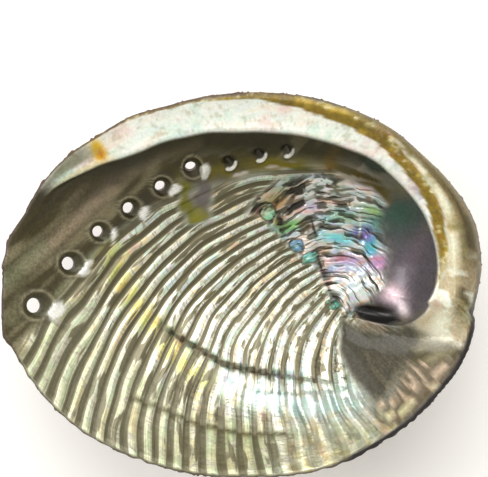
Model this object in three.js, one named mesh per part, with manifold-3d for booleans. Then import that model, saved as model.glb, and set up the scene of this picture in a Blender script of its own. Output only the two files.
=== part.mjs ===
// Abalone shell lying on its back, opening up. One natural piece, millimetres, +Z up.
// +X runs to the spire, +Y to the side with the shelf and the row of breathing holes.
import * as THREE from 'three';
import { mergeVertices } from 'three/addons/utils/BufferGeometryUtils.js';
import Module from 'manifold-3d';

// ---- driving dimensions ----------------------------------------------------------------
const FLOOR_THICK = 3.2; // wall under the middle of the bowl
const WORN_FLAT = 0.5; // depth worn off the crown of the back, which it rests on
const CREST_MEAN = 42.6; // mean height of the edge above the table
const CREST_WAVE = 1.9; // how much higher the long sides stand than the two ends
const LIP = 1.5; // wall thickness at the edge
const SHELF_EDGE = 3.2; // thickness of the rounded inner edge of the shelf
const NO_SHELF_BAND = 3.0; // width the shelf's rings take up where there is no shelf
const BOWL = [12.0, 7.5]; // plan position of the deepest point
const SPIRE = [54.6, -13.9]; // plan position of the spire's tip
const SPIRE_RISE = 5.0; // how far the spire stands out of the back
const SPIRE_RADIUS = 13.0;
const HOLLOW = { at: [57, -2], reach: [11, 17], depth: 4.0 }; // inside of the last whorl
const PIT = { at: [47.0, -10.6], reach: [10.5, 4.0], turn: -14, depth: 4.5 };
const CELLS = [36, 30]; // faces along and across the bowl
const TOP_RINGS = 2; // rings of faces on the top of the shelf
const ROLL_RINGS = 3; // rings of faces round the edge

// Edge of the shell seen from above, anticlockwise from the spire end.
const OUTLINE = [
  [82.0, 6.5], [80.6, 18.0], [77.4, 25.8], [70.9, 34.7], [59.7, 45.6], [50.5, 53.0],
  [41.3, 57.8], [25.5, 62.9], [14.8, 64.6], [-1.5, 65.0], [-24.3, 61.2], [-38.9, 57.0],
  [-50.7, 50.0], [-58.3, 45.2], [-69.0, 34.3], [-76.1, 21.8], [-80.8, 13.3], [-82.2, -8.2],
  [-82.0, -17.0], [-78.5, -22.0], [-72.2, -32.3], [-57.1, -47.9], [-37.1, -58.3],
  [-17.5, -63.6], [6.6, -64.6], [32.5, -60.2], [49.8, -51.0], [63.8, -39.1], [74.6, -24.8],
  [78.8, -12.2], [78.3, -9.9], [81.2, 0.7],
];

// Each list below goes round the bowl: azimuth in degrees, then the value there.
// How far the shelf's inner edge lies inside the outline.
const SHELF_INSET = [
  [0, 16.4], [9, 16.5], [25, 14.4], [44, 12.8], [62, 13.7], [81, 13.7], [107, 13.9],
  [122, 12.9], [139, 13.6], [153, 9.4], [163, 3.8], [172, 2.4], [262, 2.4], [280, 6],
  [295, 17], [309, 30], [320, 38], [325, 36], [329, 30], [333, 22.6], [338, 18.9],
  [344, 16.6], [350, 15.6],
];
// How fully the shelf stands clear of the bowl's wall: 0 not at all, 1 fully.
const SHELF_LIFT = [
  [0, 1], [140, 1], [152, 0.8], [161, 0.3], [168, 0], [310, 0], [318, 0.12],
  [326, 0.42], [334, 0.75], [342, 1],
];
// How far the hollow goes back beneath the shelf.
const UNDERCUT = [
  [0, 8], [30, 6.5], [60, 6], [110, 5.5], [140, 4], [155, 1.5], [168, 0.5],
  [310, 0.5], [322, 2], [334, 5], [345, 7.5],
];
// How much lower the shelf's inner edge is than the crest.
const SHELF_DROP = [
  [0, 2], [45, 2.2], [90, 2.6], [140, 2], [168, 1], [310, 16], [322, 14],
  [328, 12], [334, 9], [340, 6], [347, 3.4],
];
// How far the crest lies inside the outline, and how far above it.
const CREST_INSET = [
  [0, 10.2], [7, 10], [15, 8], [24, 5.6], [34, 4.6], [52, 4.0], [82, 3.2], [104, 2.3],
  [125, 1.7], [150, 1.3], [335, 1.3], [340, 2.2], [344, 4.5], [349, 8],
];
const CREST_RISE = [
  [0, 10], [15, 9], [24, 7], [34, 5.5], [52, 4], [82, 2.4], [110, 1.4], [150, 1],
  [335, 1], [340, 2.4], [344, 5], [349, 8],
];
// Power of the bowl's section: low is an even slope, high a flat floor and steep wall.
const SECTION = [
  [0, 2.4], [45, 2.9], [90, 3.2], [135, 3.0], [180, 2.5], [225, 2.2], [270, 2.05], [315, 2.1],
];
// Roundness of the back under the edge: 1 none, lower is fuller.
const FULLNESS = [
  [0, 0.75], [34, 0.86], [60, 0.93], [100, 1], [318, 1], [335, 0.92], [346, 0.8],
];
// Breathing holes from the edge inwards: plan position and bore.
const HOLES = [
  { at: [-72.1, -7.1], bore: 5.6 },
  { at: [-61.4, 7.5], bore: 5.0 },
  { at: [-51.5, 18.7], bore: 4.3 },
  { at: [-41.1, 27.2], bore: 4.3 },
  { at: [-29.9, 35.0], bore: 4.1 },
  { at: [-19.1, 41.8], bore: 4.1 },
];
const COLLAR_WIDTH = 1.9; // raised rim round each hole on the back
const COLLAR_RISE = 1.0;
const SINK_WIDTH = 1.3; // rounded mouth of each hole inside
const HOLE_SIDES = 16;
const HOLE_LEAN = 0.4; // how far the holes lean with the wall: 0 upright, 1 square to it

// ---- smooth periodic curves through the lists --------------------------------------------
function around(list) {
  const knots = [...list].sort((a, b) => a[0] - b[0]);
  const n = knots.length;
  const at = (i) => knots[((i % n) + n) % n];
  const gap = (i) => (at(i + 1)[0] - at(i)[0] + 360) % 360 || 360;
  const rise = (i) => (at(i + 1)[1] - at(i)[1]) / gap(i);
  const slope = (i) => {
    const before = rise(i - 1);
    const after = rise(i);
    if (before * after <= 0) return 0;
    return (2 * before * after) / (before + after);
  };
  return (azimuth) => {
    const a = ((azimuth % 360) + 360) % 360;
    let i = n - 1;
    for (let j = 0; j < n; j += 1) if (knots[j][0] <= a) i = j;
    if (a < knots[0][0]) i = n - 1;
    const h = gap(i);
    const t = ((a - at(i)[0] + 360) % 360) / h;
    const t2 = t * t;
    const t3 = t2 * t;
    return (
      (2 * t3 - 3 * t2 + 1) * at(i)[1] +
      (t3 - 2 * t2 + t) * h * slope(i) +
      (3 * t2 - 2 * t3) * at(i + 1)[1] +
      (t3 - t2) * h * slope(i + 1)
    );
  };
}

const toPolar = ([x, y]) => {
  const dx = x - BOWL[0];
  const dy = y - BOWL[1];
  return [((Math.atan2(dy, dx) * 180) / Math.PI + 360) % 360, Math.hypot(dx, dy)];
};
const toPlan = (azimuth, radius) => {
  const a = (azimuth * Math.PI) / 180;
  return [BOWL[0] + radius * Math.cos(a), BOWL[1] + radius * Math.sin(a)];
};
const mix = (a, b, t) => a + (b - a) * t;

const outline = around(OUTLINE.map(toPolar));
const shelfInset = around(SHELF_INSET);
const shelfLift = around(SHELF_LIFT);
const undercut = around(UNDERCUT);
const shelfDrop = around(SHELF_DROP);
const crestInset = around(CREST_INSET);
const crestRise = around(CREST_RISE);
const section = around(SECTION);
const fullness = around(FULLNESS);
const crestHeight = (azimuth) =>
  CREST_MEAN - CREST_WAVE * Math.cos((2 * azimuth * Math.PI) / 180);

// ---- surfaces ----------------------------------------------------------------------------
// Bell-shaped patch: 1 in the middle, fading over its reach along its own two axes.
function patch(x, y, { at, reach, turn = 0 }) {
  const a = (turn * Math.PI) / 180;
  const dx = x - at[0];
  const dy = y - at[1];
  const along = (dx * Math.cos(a) + dy * Math.sin(a)) / reach[0];
  const across = (dy * Math.cos(a) - dx * Math.sin(a)) / reach[1];
  return Math.exp(-along * along - across * across);
}

// Inside of the bowl, as if there were no shelf.
function bowlHeight(azimuth, radius) {
  const share = radius / (outline(azimuth) - LIP);
  return FLOOR_THICK + (crestHeight(azimuth) - FLOOR_THICK) * share ** section(azimuth);
}

// Inside of the bowl with the hollow of the last whorl and the pit at the spire.
function insideHeight(azimuth, radius) {
  const [x, y] = toPlan(azimuth, radius);
  const sunk = HOLLOW.depth * patch(x, y, HOLLOW) + PIT.depth * patch(x, y, PIT);
  return bowlHeight(azimuth, radius) - sunk;
}

// Outside of the shell, from the table up to its widest line.
function backHeight(azimuth, radius) {
  const [x, y] = toPlan(azimuth, radius);
  const share = Math.min(1, radius / outline(azimuth)) ** section(azimuth);
  const widest = crestHeight(azimuth) - crestRise(azimuth) + WORN_FLAT;
  const spire = { at: SPIRE, reach: [SPIRE_RADIUS, SPIRE_RADIUS] };
  const z = widest * (1 - (1 - share) ** fullness(azimuth));
  return Math.max(z - WORN_FLAT - SPIRE_RISE * patch(x, y, spire) * (1 - share ** 4), 0);
}

// Rings from the top of the bowl's wall, under and over the shelf, to the widest line.
function edgeProfile(azimuth) {
  const lift = shelfLift(azimuth);
  const edge = outline(azimuth) - shelfInset(azimuth);
  const crestAt = outline(azimuth) - crestInset(azimuth);
  const crest = crestHeight(azimuth);
  const deep = undercut(azimuth);
  const foot = insideHeight(azimuth, edge + deep);
  const top = crest - shelfDrop(azimuth);
  const under = top - SHELF_EDGE;
  const shelf = [
    [edge + deep, foot],
    [edge + deep + 0.4, mix(foot, under, 0.55)],
    [edge + deep - 0.6, mix(foot, under, 0.95)],
    [edge + 0.4 * deep, under + 0.1 * SHELF_EDGE],
    [edge + 0.1, under + 0.35 * SHELF_EDGE],
    [edge, under + 0.72 * SHELF_EDGE],
    [edge + 1.0, top],
  ];
  const rings = shelf.map(([radius, z], i) => {
    const plainRadius = edge - NO_SHELF_BAND * (1 - i / (shelf.length - 1));
    const plainZ = insideHeight(azimuth, plainRadius);
    return [mix(plainRadius, radius, lift), mix(plainZ, z, lift)];
  });
  const [innerAt, innerZ] = rings[rings.length - 1];
  for (let i = 1; i <= TOP_RINGS; i += 1) {
    const t = i / TOP_RINGS;
    const radius = mix(innerAt, crestAt, t);
    const overInner = innerZ - bowlHeight(azimuth, innerAt);
    const overCrest = crest - bowlHeight(azimuth, crestAt);
    rings.push([radius, bowlHeight(azimuth, radius) + mix(overInner, overCrest, t)]);
  }
  for (let i = 1; i <= ROLL_RINGS; i += 1) {
    const turn = (i / ROLL_RINGS) * (Math.PI / 2);
    const radius = crestAt + crestInset(azimuth) * Math.sin(turn);
    rings.push([radius, crest - crestRise(azimuth) * (1 - Math.cos(turn))]);
  }
  return rings;
}

// ---- mesh of the plain shell --------------------------------------------------------------
// A square grid drawn over the round bowl: azimuth and share of the radius at each node.
function discPoint(u, v) {
  if (u === 0 && v === 0) return [0, 0];
  const [share, turn] =
    Math.abs(u) > Math.abs(v)
      ? [u, (Math.PI / 4) * (v / u)]
      : [v, Math.PI / 2 - (Math.PI / 4) * (u / v)];
  const azimuth = (turn * 180) / Math.PI + (share < 0 ? 180 : 0);
  return [(azimuth + 360) % 360, Math.abs(share)];
}

function plainShell() {
  const [nx, ny] = CELLS;
  const positions = [];
  const faces = [];
  const add = (azimuth, radius, z) => {
    const [x, y] = toPlan(azimuth, radius);
    positions.push(x, y, z);
    return positions.length / 3 - 1;
  };
  const quad = (a, b, c, d, flip) => {
    if (flip) faces.push(a, c, b, a, d, c);
    else faces.push(a, b, c, a, c, d);
  };
  const grid = (radiusAt, heightAt, flip) => {
    const node = [];
    for (let j = 0; j <= ny; j += 1) {
      for (let i = 0; i <= nx; i += 1) {
        const [azimuth, share] = discPoint((2 * i) / nx - 1, (2 * j) / ny - 1);
        const radius = share * radiusAt(azimuth);
        node.push(add(azimuth, radius, heightAt(azimuth, radius)));
      }
    }
    for (let j = 0; j < ny; j += 1) {
      for (let i = 0; i < nx; i += 1) {
        const a = j * (nx + 1) + i;
        quad(node[a], node[a + 1], node[a + nx + 2], node[a + nx + 1], flip);
      }
    }
    return node;
  };
  const inside = grid((azimuth) => edgeProfile(azimuth)[0][0], insideHeight, false);
  const back = grid(outline, (azimuth, radius) => backHeight(azimuth, radius), true);

  const border = [];
  for (let i = 0; i < nx; i += 1) border.push([i, 0]);
  for (let j = 0; j < ny; j += 1) border.push([nx, j]);
  for (let i = nx; i > 0; i -= 1) border.push([i, ny]);
  for (let j = ny; j > 0; j -= 1) border.push([0, j]);
  const columns = border.map(([i, j]) => {
    const at = j * (nx + 1) + i;
    const [azimuth] = discPoint((2 * i) / nx - 1, (2 * j) / ny - 1);
    const rings = edgeProfile(azimuth);
    const column = [inside[at]];
    for (const [radius, z] of rings.slice(1, -1)) column.push(add(azimuth, radius, z));
    column.push(back[at]);
    const [radius, z] = rings[rings.length - 1];
    const [x, y] = toPlan(azimuth, radius);
    positions.splice(back[at] * 3, 3, x, y, z);
    return column;
  });
  columns.forEach((column, i) => {
    const next = columns[(i + 1) % columns.length];
    for (let k = 0; k + 1 < column.length; k += 1) {
      quad(column[k], next[k], next[k + 1], column[k + 1], true);
    }
  });
  return { positions, faces };
}

// ---- breathing holes ----------------------------------------------------------------------
// Frame at a hole: a point on the inside surface and the way out through the wall.
function holeFrame([x, y]) {
  const height = (px, py) => insideHeight(...toPolar([px, py]));
  const step = 1.0;
  const sx = (height(x + step, y) - height(x - step, y)) / (2 * step);
  const sy = (height(x, y + step) - height(x, y - step)) / (2 * step);
  const out = new THREE.Vector3(sx * HOLE_LEAN, sy * HOLE_LEAN, -1).normalize();
  const inner = new THREE.Vector3(x, y, height(x, y));
  let depth = 0;
  const point = inner.clone();
  while (point.z > backHeight(...toPolar([point.x, point.y])) && depth < 12) {
    depth += 0.05;
    point.copy(inner).addScaledVector(out, depth);
  }
  return { inner, out, depth };
}

// Straight-sided cone along the hole between two depths measured out from the inside face.
function plug(frame, from, to, radiusFrom, radiusTo) {
  const shape = new THREE.CylinderGeometry(radiusTo, radiusFrom, to - from, HOLE_SIDES);
  const turn = new THREE.Quaternion().setFromUnitVectors(new THREE.Vector3(0, 1, 0), frame.out);
  shape.applyQuaternion(turn);
  const middle = frame.inner.clone().addScaledVector(frame.out, (from + to) / 2);
  shape.translate(middle.x, middle.y, middle.z);
  return shape;
}

const wasm = await Module();
wasm.setup();

function toSolid(geometry) {
  const bare = geometry.clone();
  bare.deleteAttribute('normal');
  bare.deleteAttribute('uv');
  const merged = mergeVertices(bare, 1e-4);
  return new wasm.Manifold(
    new wasm.Mesh({
      numProp: 3,
      vertProperties: new Float32Array(merged.attributes.position.array),
      triVerts: new Uint32Array(merged.index.array),
    }),
  );
}

function toGeometry(solid) {
  const mesh = solid.getMesh();
  const geometry = new THREE.BufferGeometry();
  geometry.setAttribute('position', new THREE.BufferAttribute(mesh.vertProperties, 3));
  geometry.setIndex(new THREE.BufferAttribute(mesh.triVerts, 1));
  geometry.computeVertexNormals();
  return geometry;
}

// ---- the shell ----------------------------------------------------------------------------
function shell() {
  const { positions, faces } = plainShell();
  const plain = new THREE.BufferGeometry();
  plain.setAttribute('position', new THREE.Float32BufferAttribute(positions, 3));
  plain.setIndex(faces);
  let solid = toSolid(plain);
  for (const { at, bore } of HOLES) {
    const frame = holeFrame(at);
    const radius = bore / 2;
    const outer = frame.depth + COLLAR_RISE;
    const foot = radius + COLLAR_WIDTH;
    solid = solid.add(toSolid(plug(frame, frame.depth * 0.5, outer, foot + 0.6, foot - 0.9)));
  }
  for (const { at, bore } of HOLES) {
    const frame = holeFrame(at);
    const radius = bore / 2;
    const flare = radius + SINK_WIDTH;
    solid = solid.subtract(toSolid(plug(frame, -3, frame.depth + 4, radius + 0.3, radius - 0.2)));
    solid = solid.subtract(toSolid(plug(frame, -3, 1.1, flare + 2, radius)));
  }
  return toGeometry(solid);
}

const nacre = new THREE.MeshStandardMaterial({ color: '#8f8d7a', roughness: 0.3, metalness: 0.4 });
const body = new THREE.Mesh(shell(), nacre);
body.name = 'abalone_shell';

const model = new THREE.Group();
model.name = 'abalone';
model.add(body);
export default model;
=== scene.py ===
"""Looks of an abalone shell lying on its back: nacre inside, ribbed outer layer, shelf and holes."""

import logging
import math
from dataclasses import dataclass, field
from enum import Enum

import bmesh
import bpy
import numpy as np
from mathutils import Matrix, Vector


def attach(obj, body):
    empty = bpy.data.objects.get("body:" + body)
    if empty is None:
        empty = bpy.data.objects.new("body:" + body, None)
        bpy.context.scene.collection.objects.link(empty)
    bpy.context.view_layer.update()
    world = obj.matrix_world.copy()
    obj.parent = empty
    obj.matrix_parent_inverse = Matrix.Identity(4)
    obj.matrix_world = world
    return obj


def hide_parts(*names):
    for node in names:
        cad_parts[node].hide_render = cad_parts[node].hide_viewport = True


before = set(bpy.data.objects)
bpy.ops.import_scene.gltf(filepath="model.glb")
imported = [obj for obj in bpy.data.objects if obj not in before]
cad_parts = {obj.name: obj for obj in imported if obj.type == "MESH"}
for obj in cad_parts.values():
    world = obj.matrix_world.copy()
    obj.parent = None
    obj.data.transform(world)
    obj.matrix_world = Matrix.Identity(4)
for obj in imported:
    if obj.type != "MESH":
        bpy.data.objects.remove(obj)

LOG = logging.getLogger("abalone")
MM = 0.001
Array = np.ndarray
Point = tuple[float, float]
BMesh = bmesh.types.BMesh
Tree = bpy.types.NodeTree
Socket = bpy.types.NodeSocket
Stops = list[tuple[float, str]]  # places along a ramp, with sRGB hex colours
Coats = list[tuple[str, Array]]  # sRGB hex colours, with how much of each a vertex gets


class Zone(Enum):
    """The parts of the shell's skin, as numbers kept on its vertices."""

    INSIDE = 0.0
    EDGE = 1.0
    BACK = 2.0


BACK_FROM = 1.5  # zone numbers past this are on the back
NEARLY = 0.001  # slack when a zone number is compared


# ---- numbers and curves ----------------------------------------------------------------------


def linear(hex_colour: str) -> tuple[float, float, float, float]:
    """Turns an sRGB hex colour into linear light.

    Args:
        hex_colour: six hex digits with a leading #.

    Returns:
        Red, green, blue and 1.
    """
    parts = [int(hex_colour[i : i + 2], 16) / 255 for i in (1, 3, 5)]
    rgb = [c / 12.92 if c <= 0.04045 else ((c + 0.055) / 1.055) ** 2.4 for c in parts]
    return rgb[0], rgb[1], rgb[2], 1.0


def smooth(low: float, high: float, value: Array) -> Array:
    """Smooth step from 0 at low to 1 at high, which falls where high is below low."""
    t = np.clip((value - low) / (high - low), 0, 1)
    return t * t * (3 - 2 * t)


def mix(a: Array, b: Array, t: Array) -> Array:
    """Straight blend from a to b by t."""
    return a + (b - a) * t


class Around:
    """A smooth closed curve of values round the bowl, through a few (azimuth, value) pairs."""

    def __init__(self, pairs: list[tuple[float, float]]) -> None:
        """Works out the slopes, which never overshoot.

        Args:
            pairs: azimuth in degrees and the value there, in any order.
        """
        knots = sorted((a % 360, v) for a, v in pairs)
        self.at = np.array([a for a, _ in knots])
        self.value = np.array([v for _, v in knots])
        self.gap = (np.roll(self.at, -1) - self.at) % 360
        rise = (np.roll(self.value, -1) - self.value) / self.gap
        before = np.roll(rise, 1)
        same = before * rise > 0
        total = np.where(same, before + rise, 1.0)
        self.slope = np.where(same, 2 * before * rise / total, 0.0)

    def __call__(self, azimuth: Array) -> Array:
        """Values at these azimuths.

        Args:
            azimuth: degrees.

        Returns:
            The interpolated values.
        """
        a = np.asarray(azimuth, float) % 360
        i = np.searchsorted(self.at, a, side="right") - 1
        i = np.where(i < 0, len(self.at) - 1, i)
        j = (i + 1) % len(self.at)
        h = self.gap[i]
        t = ((a - self.at[i]) % 360) / h
        return (
            (2 * t**3 - 3 * t**2 + 1) * self.value[i]
            + (t**3 - 2 * t**2 + t) * h * self.slope[i]
            + (3 * t**2 - 2 * t**3) * self.value[j]
            + (t**3 - t**2) * h * self.slope[j]
        )


@dataclass(frozen=True)
class Noise:
    """Seeded smooth noise over the plane, from -1 to 1."""

    seed: int
    size: int = 256

    def __call__(self, x: Array, y: Array, cell: float, octaves: int = 3) -> Array:
        """Sums a few octaves of value noise.

        Args:
            x: first coordinate.
            y: second coordinate.
            cell: size of the largest cell, in the same unit.
            octaves: how many sizes are added, each half the last.

        Returns:
            The noise at each point.
        """
        table = np.random.default_rng(self.seed).uniform(-1, 1, (self.size, self.size))
        total = np.zeros(np.broadcast(x, y).shape)
        weight, share = 0.0, 1.0
        for octave in range(octaves):
            u = x / cell * 2**octave + 17.3 * octave
            v = y / cell * 2**octave + 9.1 * octave
            i, j = np.floor(u).astype(int), np.floor(v).astype(int)
            s, t = u - i, v - j
            s, t = s * s * s * (s * (6 * s - 15) + 10), t * t * t * (t * (6 * t - 15) + 10)
            i0, j0 = i % self.size, j % self.size
            i1, j1 = (i + 1) % self.size, (j + 1) % self.size
            low = mix(table[j0, i0], table[j0, i1], s)
            high = mix(table[j1, i0], table[j1, i1], s)
            total += share * mix(low, high, t)
            weight += share
            share *= 0.5
        return total / weight


@dataclass(frozen=True)
class Patch:
    """A soft elliptical region of the shell seen from above, in mm."""

    at: Point
    reach: Point
    turn: float = 0.0

    def __call__(self, x: Array, y: Array) -> Array:
        """How much each point is in the patch.

        Args:
            x: plan position.
            y: plan position.

        Returns:
            1 in the middle, fading to 0 past the reach.
        """
        a = math.radians(self.turn)
        dx, dy = x - self.at[0], y - self.at[1]
        along = (dx * math.cos(a) + dy * math.sin(a)) / self.reach[0]
        across = (dy * math.cos(a) - dx * math.sin(a)) / self.reach[1]
        return np.exp(-along * along - across * across)


def distance(points: tuple[Point, ...], x: Array, y: Array) -> Array:
    """Distance to the nearest of a chain of straight lines.

    Args:
        points: the chain's corners.
        x: plan position.
        y: plan position.

    Returns:
        The distance from each place.
    """
    nearest = np.full(x.shape, np.inf)
    for (ax, ay), (bx, by) in zip(points, points[1:]):
        ux, uy = bx - ax, by - ay
        t = np.clip(((x - ax) * ux + (y - ay) * uy) / (ux * ux + uy * uy), 0, 1)
        nearest = np.minimum(nearest, np.hypot(x - ax - t * ux, y - ay - t * uy))
    return nearest


@dataclass(frozen=True)
class Stroke:
    """A line drawn on the shell seen from above, in mm."""

    points: tuple[Point, ...]
    width: float

    def __call__(self, x: Array, y: Array) -> Array:
        """How much each point is on the line: 1 on it, fading to 0 past its width."""
        return np.exp(-((distance(self.points, x, y) / self.width) ** 2))


# ---- the shell's form ------------------------------------------------------------------------


@dataclass(frozen=True)
class Hole:
    """A breathing hole: plan position and bore in mm, open or grown shut."""

    at: Point
    bore: float
    open: bool = True


@dataclass
class Form:
    """Sizes of the plain shell in mm: the same surfaces as the solid part."""

    floor_thick: float = 3.2
    worn_flat: float = 0.5
    crest_mean: float = 42.6
    crest_wave: float = 1.9
    lip: float = 1.5
    shelf_edge: float = 3.2
    no_shelf_band: float = 3.0
    bowl: Point = (12.0, 7.5)
    spire: Point = (54.6, -13.9)
    spire_rise: float = 5.0
    spire_radius: float = 13.0
    hollow: Patch = Patch((57, -2), (11, 17))
    hollow_depth: float = 4.0
    pit: Patch = Patch((47.0, -10.6), (10.5, 4.0), -14)
    pit_depth: float = 4.5
    hole_lean: float = 0.4
    edge_points: tuple[Point, ...] = (
        (82.0, 6.5), (80.6, 18.0), (77.4, 25.8), (70.9, 34.7), (59.7, 45.6), (50.5, 53.0),
        (41.3, 57.8), (25.5, 62.9), (14.8, 64.6), (-1.5, 65.0), (-24.3, 61.2), (-38.9, 57.0),
        (-50.7, 50.0), (-58.3, 45.2), (-69.0, 34.3), (-76.1, 21.8), (-80.8, 13.3), (-82.2, -8.2),
        (-82.0, -17.0), (-78.5, -22.0), (-72.2, -32.3), (-57.1, -47.9), (-37.1, -58.3),
        (-17.5, -63.6), (6.6, -64.6), (32.5, -60.2), (49.8, -51.0), (63.8, -39.1), (74.6, -24.8),
        (78.8, -12.2), (78.3, -9.9), (81.2, 0.7),
    )  # fmt: skip
    holes: tuple[Hole, ...] = (
        Hole((-72.1, -7.1), 5.6),
        Hole((-61.4, 7.5), 5.0),
        Hole((-51.5, 18.7), 4.3),
        Hole((-41.1, 27.2), 4.3),
        Hole((-29.9, 35.0), 4.1),
        Hole((-19.1, 41.8), 4.1),
        Hole((-5.6, 43.9), 3.6, False),
        Hole((5.3, 46.6), 3.4, False),
        Hole((15.1, 47.9), 3.2, False),
    )

    def __post_init__(self) -> None:
        """Makes the curves round the bowl."""
        polar = [self.polar(np.float64(x), np.float64(y)) for x, y in self.edge_points]
        self.outline = Around([(float(a), float(r)) for a, r in polar])
        self.shelf_inset = Around([
            (0, 16.4), (9, 16.5), (25, 14.4), (44, 12.8), (62, 13.7), (81, 13.7), (107, 13.9),
            (122, 12.9), (139, 13.6), (153, 9.4), (163, 3.8), (172, 2.4), (262, 2.4), (280, 6),
            (295, 17), (309, 30), (320, 38), (325, 36), (329, 30), (333, 22.6), (338, 18.9),
            (344, 16.6), (350, 15.6),
        ])  # fmt: skip
        self.shelf_lift = Around([
            (0, 1), (140, 1), (152, 0.8), (161, 0.3), (168, 0), (310, 0), (318, 0.12),
            (326, 0.42), (334, 0.75), (342, 1),
        ])  # fmt: skip
        self.undercut = Around([
            (0, 8), (30, 6.5), (60, 6), (110, 5.5), (140, 4), (155, 1.5), (168, 0.5),
            (310, 0.5), (322, 2), (334, 5), (345, 7.5),
        ])  # fmt: skip
        self.shelf_drop = Around([
            (0, 2), (45, 2.2), (90, 2.6), (140, 2), (168, 1), (310, 16), (322, 14),
            (328, 12), (334, 9), (340, 6), (347, 3.4),
        ])  # fmt: skip
        self.crest_inset = Around([
            (0, 10.2), (7, 10), (15, 8), (24, 5.6), (34, 4.6), (52, 4.0), (82, 3.2), (104, 2.3),
            (125, 1.7), (150, 1.3), (335, 1.3), (340, 2.2), (344, 4.5), (349, 8),
        ])  # fmt: skip
        self.crest_rise = Around([
            (0, 10), (15, 9), (24, 7), (34, 5.5), (52, 4), (82, 2.4), (110, 1.4), (150, 1),
            (335, 1), (340, 2.4), (344, 5), (349, 8),
        ])  # fmt: skip
        self.section = Around([
            (0, 2.4), (45, 2.9), (90, 3.2), (135, 3.0), (180, 2.5), (225, 2.2), (270, 2.05),
            (315, 2.1),
        ])  # fmt: skip
        self.fullness = Around([
            (0, 0.75), (34, 0.86), (60, 0.93), (100, 1), (318, 1), (335, 0.92), (346, 0.8),
        ])  # fmt: skip

    def polar(self, x: Array, y: Array) -> tuple[Array, Array]:
        """Azimuth in degrees and radius about the deepest point of the bowl."""
        dx, dy = x - self.bowl[0], y - self.bowl[1]
        return np.degrees(np.arctan2(dy, dx)) % 360, np.hypot(dx, dy)

    def plan(self, azimuth: Array, radius: Array) -> tuple[Array, Array]:
        """Plan position of a point given about the deepest point of the bowl."""
        a = np.radians(azimuth)
        return self.bowl[0] + radius * np.cos(a), self.bowl[1] + radius * np.sin(a)

    def crest(self, azimuth: Array) -> Array:
        """Height of the highest line round the edge."""
        return self.crest_mean - self.crest_wave * np.cos(2 * np.radians(azimuth))

    def bowl_height(self, azimuth: Array, radius: Array) -> Array:
        """Height of the inside as if there were no shelf."""
        share = radius / (self.outline(azimuth) - self.lip)
        rise = self.crest(azimuth) - self.floor_thick
        return self.floor_thick + rise * share ** self.section(azimuth)

    def inside_height(self, azimuth: Array, radius: Array) -> Array:
        """Height of the inside with the last whorl's hollow and the pit at the spire."""
        x, y = self.plan(azimuth, radius)
        sunk = self.hollow_depth * self.hollow(x, y) + self.pit_depth * self.pit(x, y)
        return self.bowl_height(azimuth, radius) - sunk

    def back_height(self, azimuth: Array, radius: Array) -> Array:
        """Height of the outside, from the table to the widest line.

        Args:
            azimuth: degrees about the deepest point of the bowl.
            radius: distance from it, in mm.

        Returns:
            Height in mm.
        """
        x, y = self.plan(azimuth, radius)
        share = np.minimum(1, radius / self.outline(azimuth)) ** self.section(azimuth)
        widest = self.crest(azimuth) - self.crest_rise(azimuth) + self.worn_flat
        z = widest * (1 - (1 - share) ** self.fullness(azimuth))
        spire = Patch(self.spire, (self.spire_radius, self.spire_radius))(x, y)
        return np.maximum(z - self.worn_flat - self.spire_rise * spire * (1 - share**4), 0)

    def edge_profile(self, azimuth: Array, steps: tuple[int, int, int]) -> list[tuple]:
        """Rings from the top of the bowl's wall, round the shelf, to the widest line.

        Args:
            azimuth: azimuth of each column, in degrees.
            steps: rings round the shelf's edge, over its top and round the crest.

        Returns:
            For each ring, the radius and height of each column.
        """
        lift = np.clip(self.shelf_lift(azimuth), 0, 1)
        edge = self.outline(azimuth) - self.shelf_inset(azimuth)
        crest_at = self.outline(azimuth) - self.crest_inset(azimuth)
        crest = self.crest(azimuth)
        deep = self.undercut(azimuth)
        foot = self.inside_height(azimuth, edge + deep)
        top = crest - self.shelf_drop(azimuth)
        under = top - self.shelf_edge
        shelf = [
            (edge + deep, foot),
            (edge + deep + 0.4, mix(foot, under, 0.55)),
            (edge + deep - 0.6, mix(foot, under, 0.95)),
            (edge + 0.4 * deep, under + 0.1 * self.shelf_edge),
            (edge + 0.1, under + 0.35 * self.shelf_edge),
            (edge, under + 0.72 * self.shelf_edge),
            (edge + 1.0, top),
        ]
        knots = []
        for i, (radius, z) in enumerate(shelf):
            plain = edge - self.no_shelf_band * (1 - i / (len(shelf) - 1))
            plain_z = self.inside_height(azimuth, plain)
            knots.append((mix(plain, radius, lift), mix(plain_z, z, lift)))
        rings = self.rounded(knots, steps[0])
        inner_at, inner_z = knots[-1]
        over_inner = inner_z - self.bowl_height(azimuth, inner_at)
        over_crest = crest - self.bowl_height(azimuth, crest_at)
        for i in range(1, steps[1] + 1):
            t = 1 - (1 - i / steps[1]) ** 1.3
            radius = mix(inner_at, crest_at, t)
            rings.append((radius, self.bowl_height(azimuth, radius) + mix(over_inner, over_crest, t)))
        for i in range(1, steps[2] + 1):
            turn = i / steps[2] * math.pi / 2
            radius = crest_at + self.crest_inset(azimuth) * math.sin(turn)
            rings.append((radius, crest - self.crest_rise(azimuth) * (1 - math.cos(turn))))
        return rings

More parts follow.
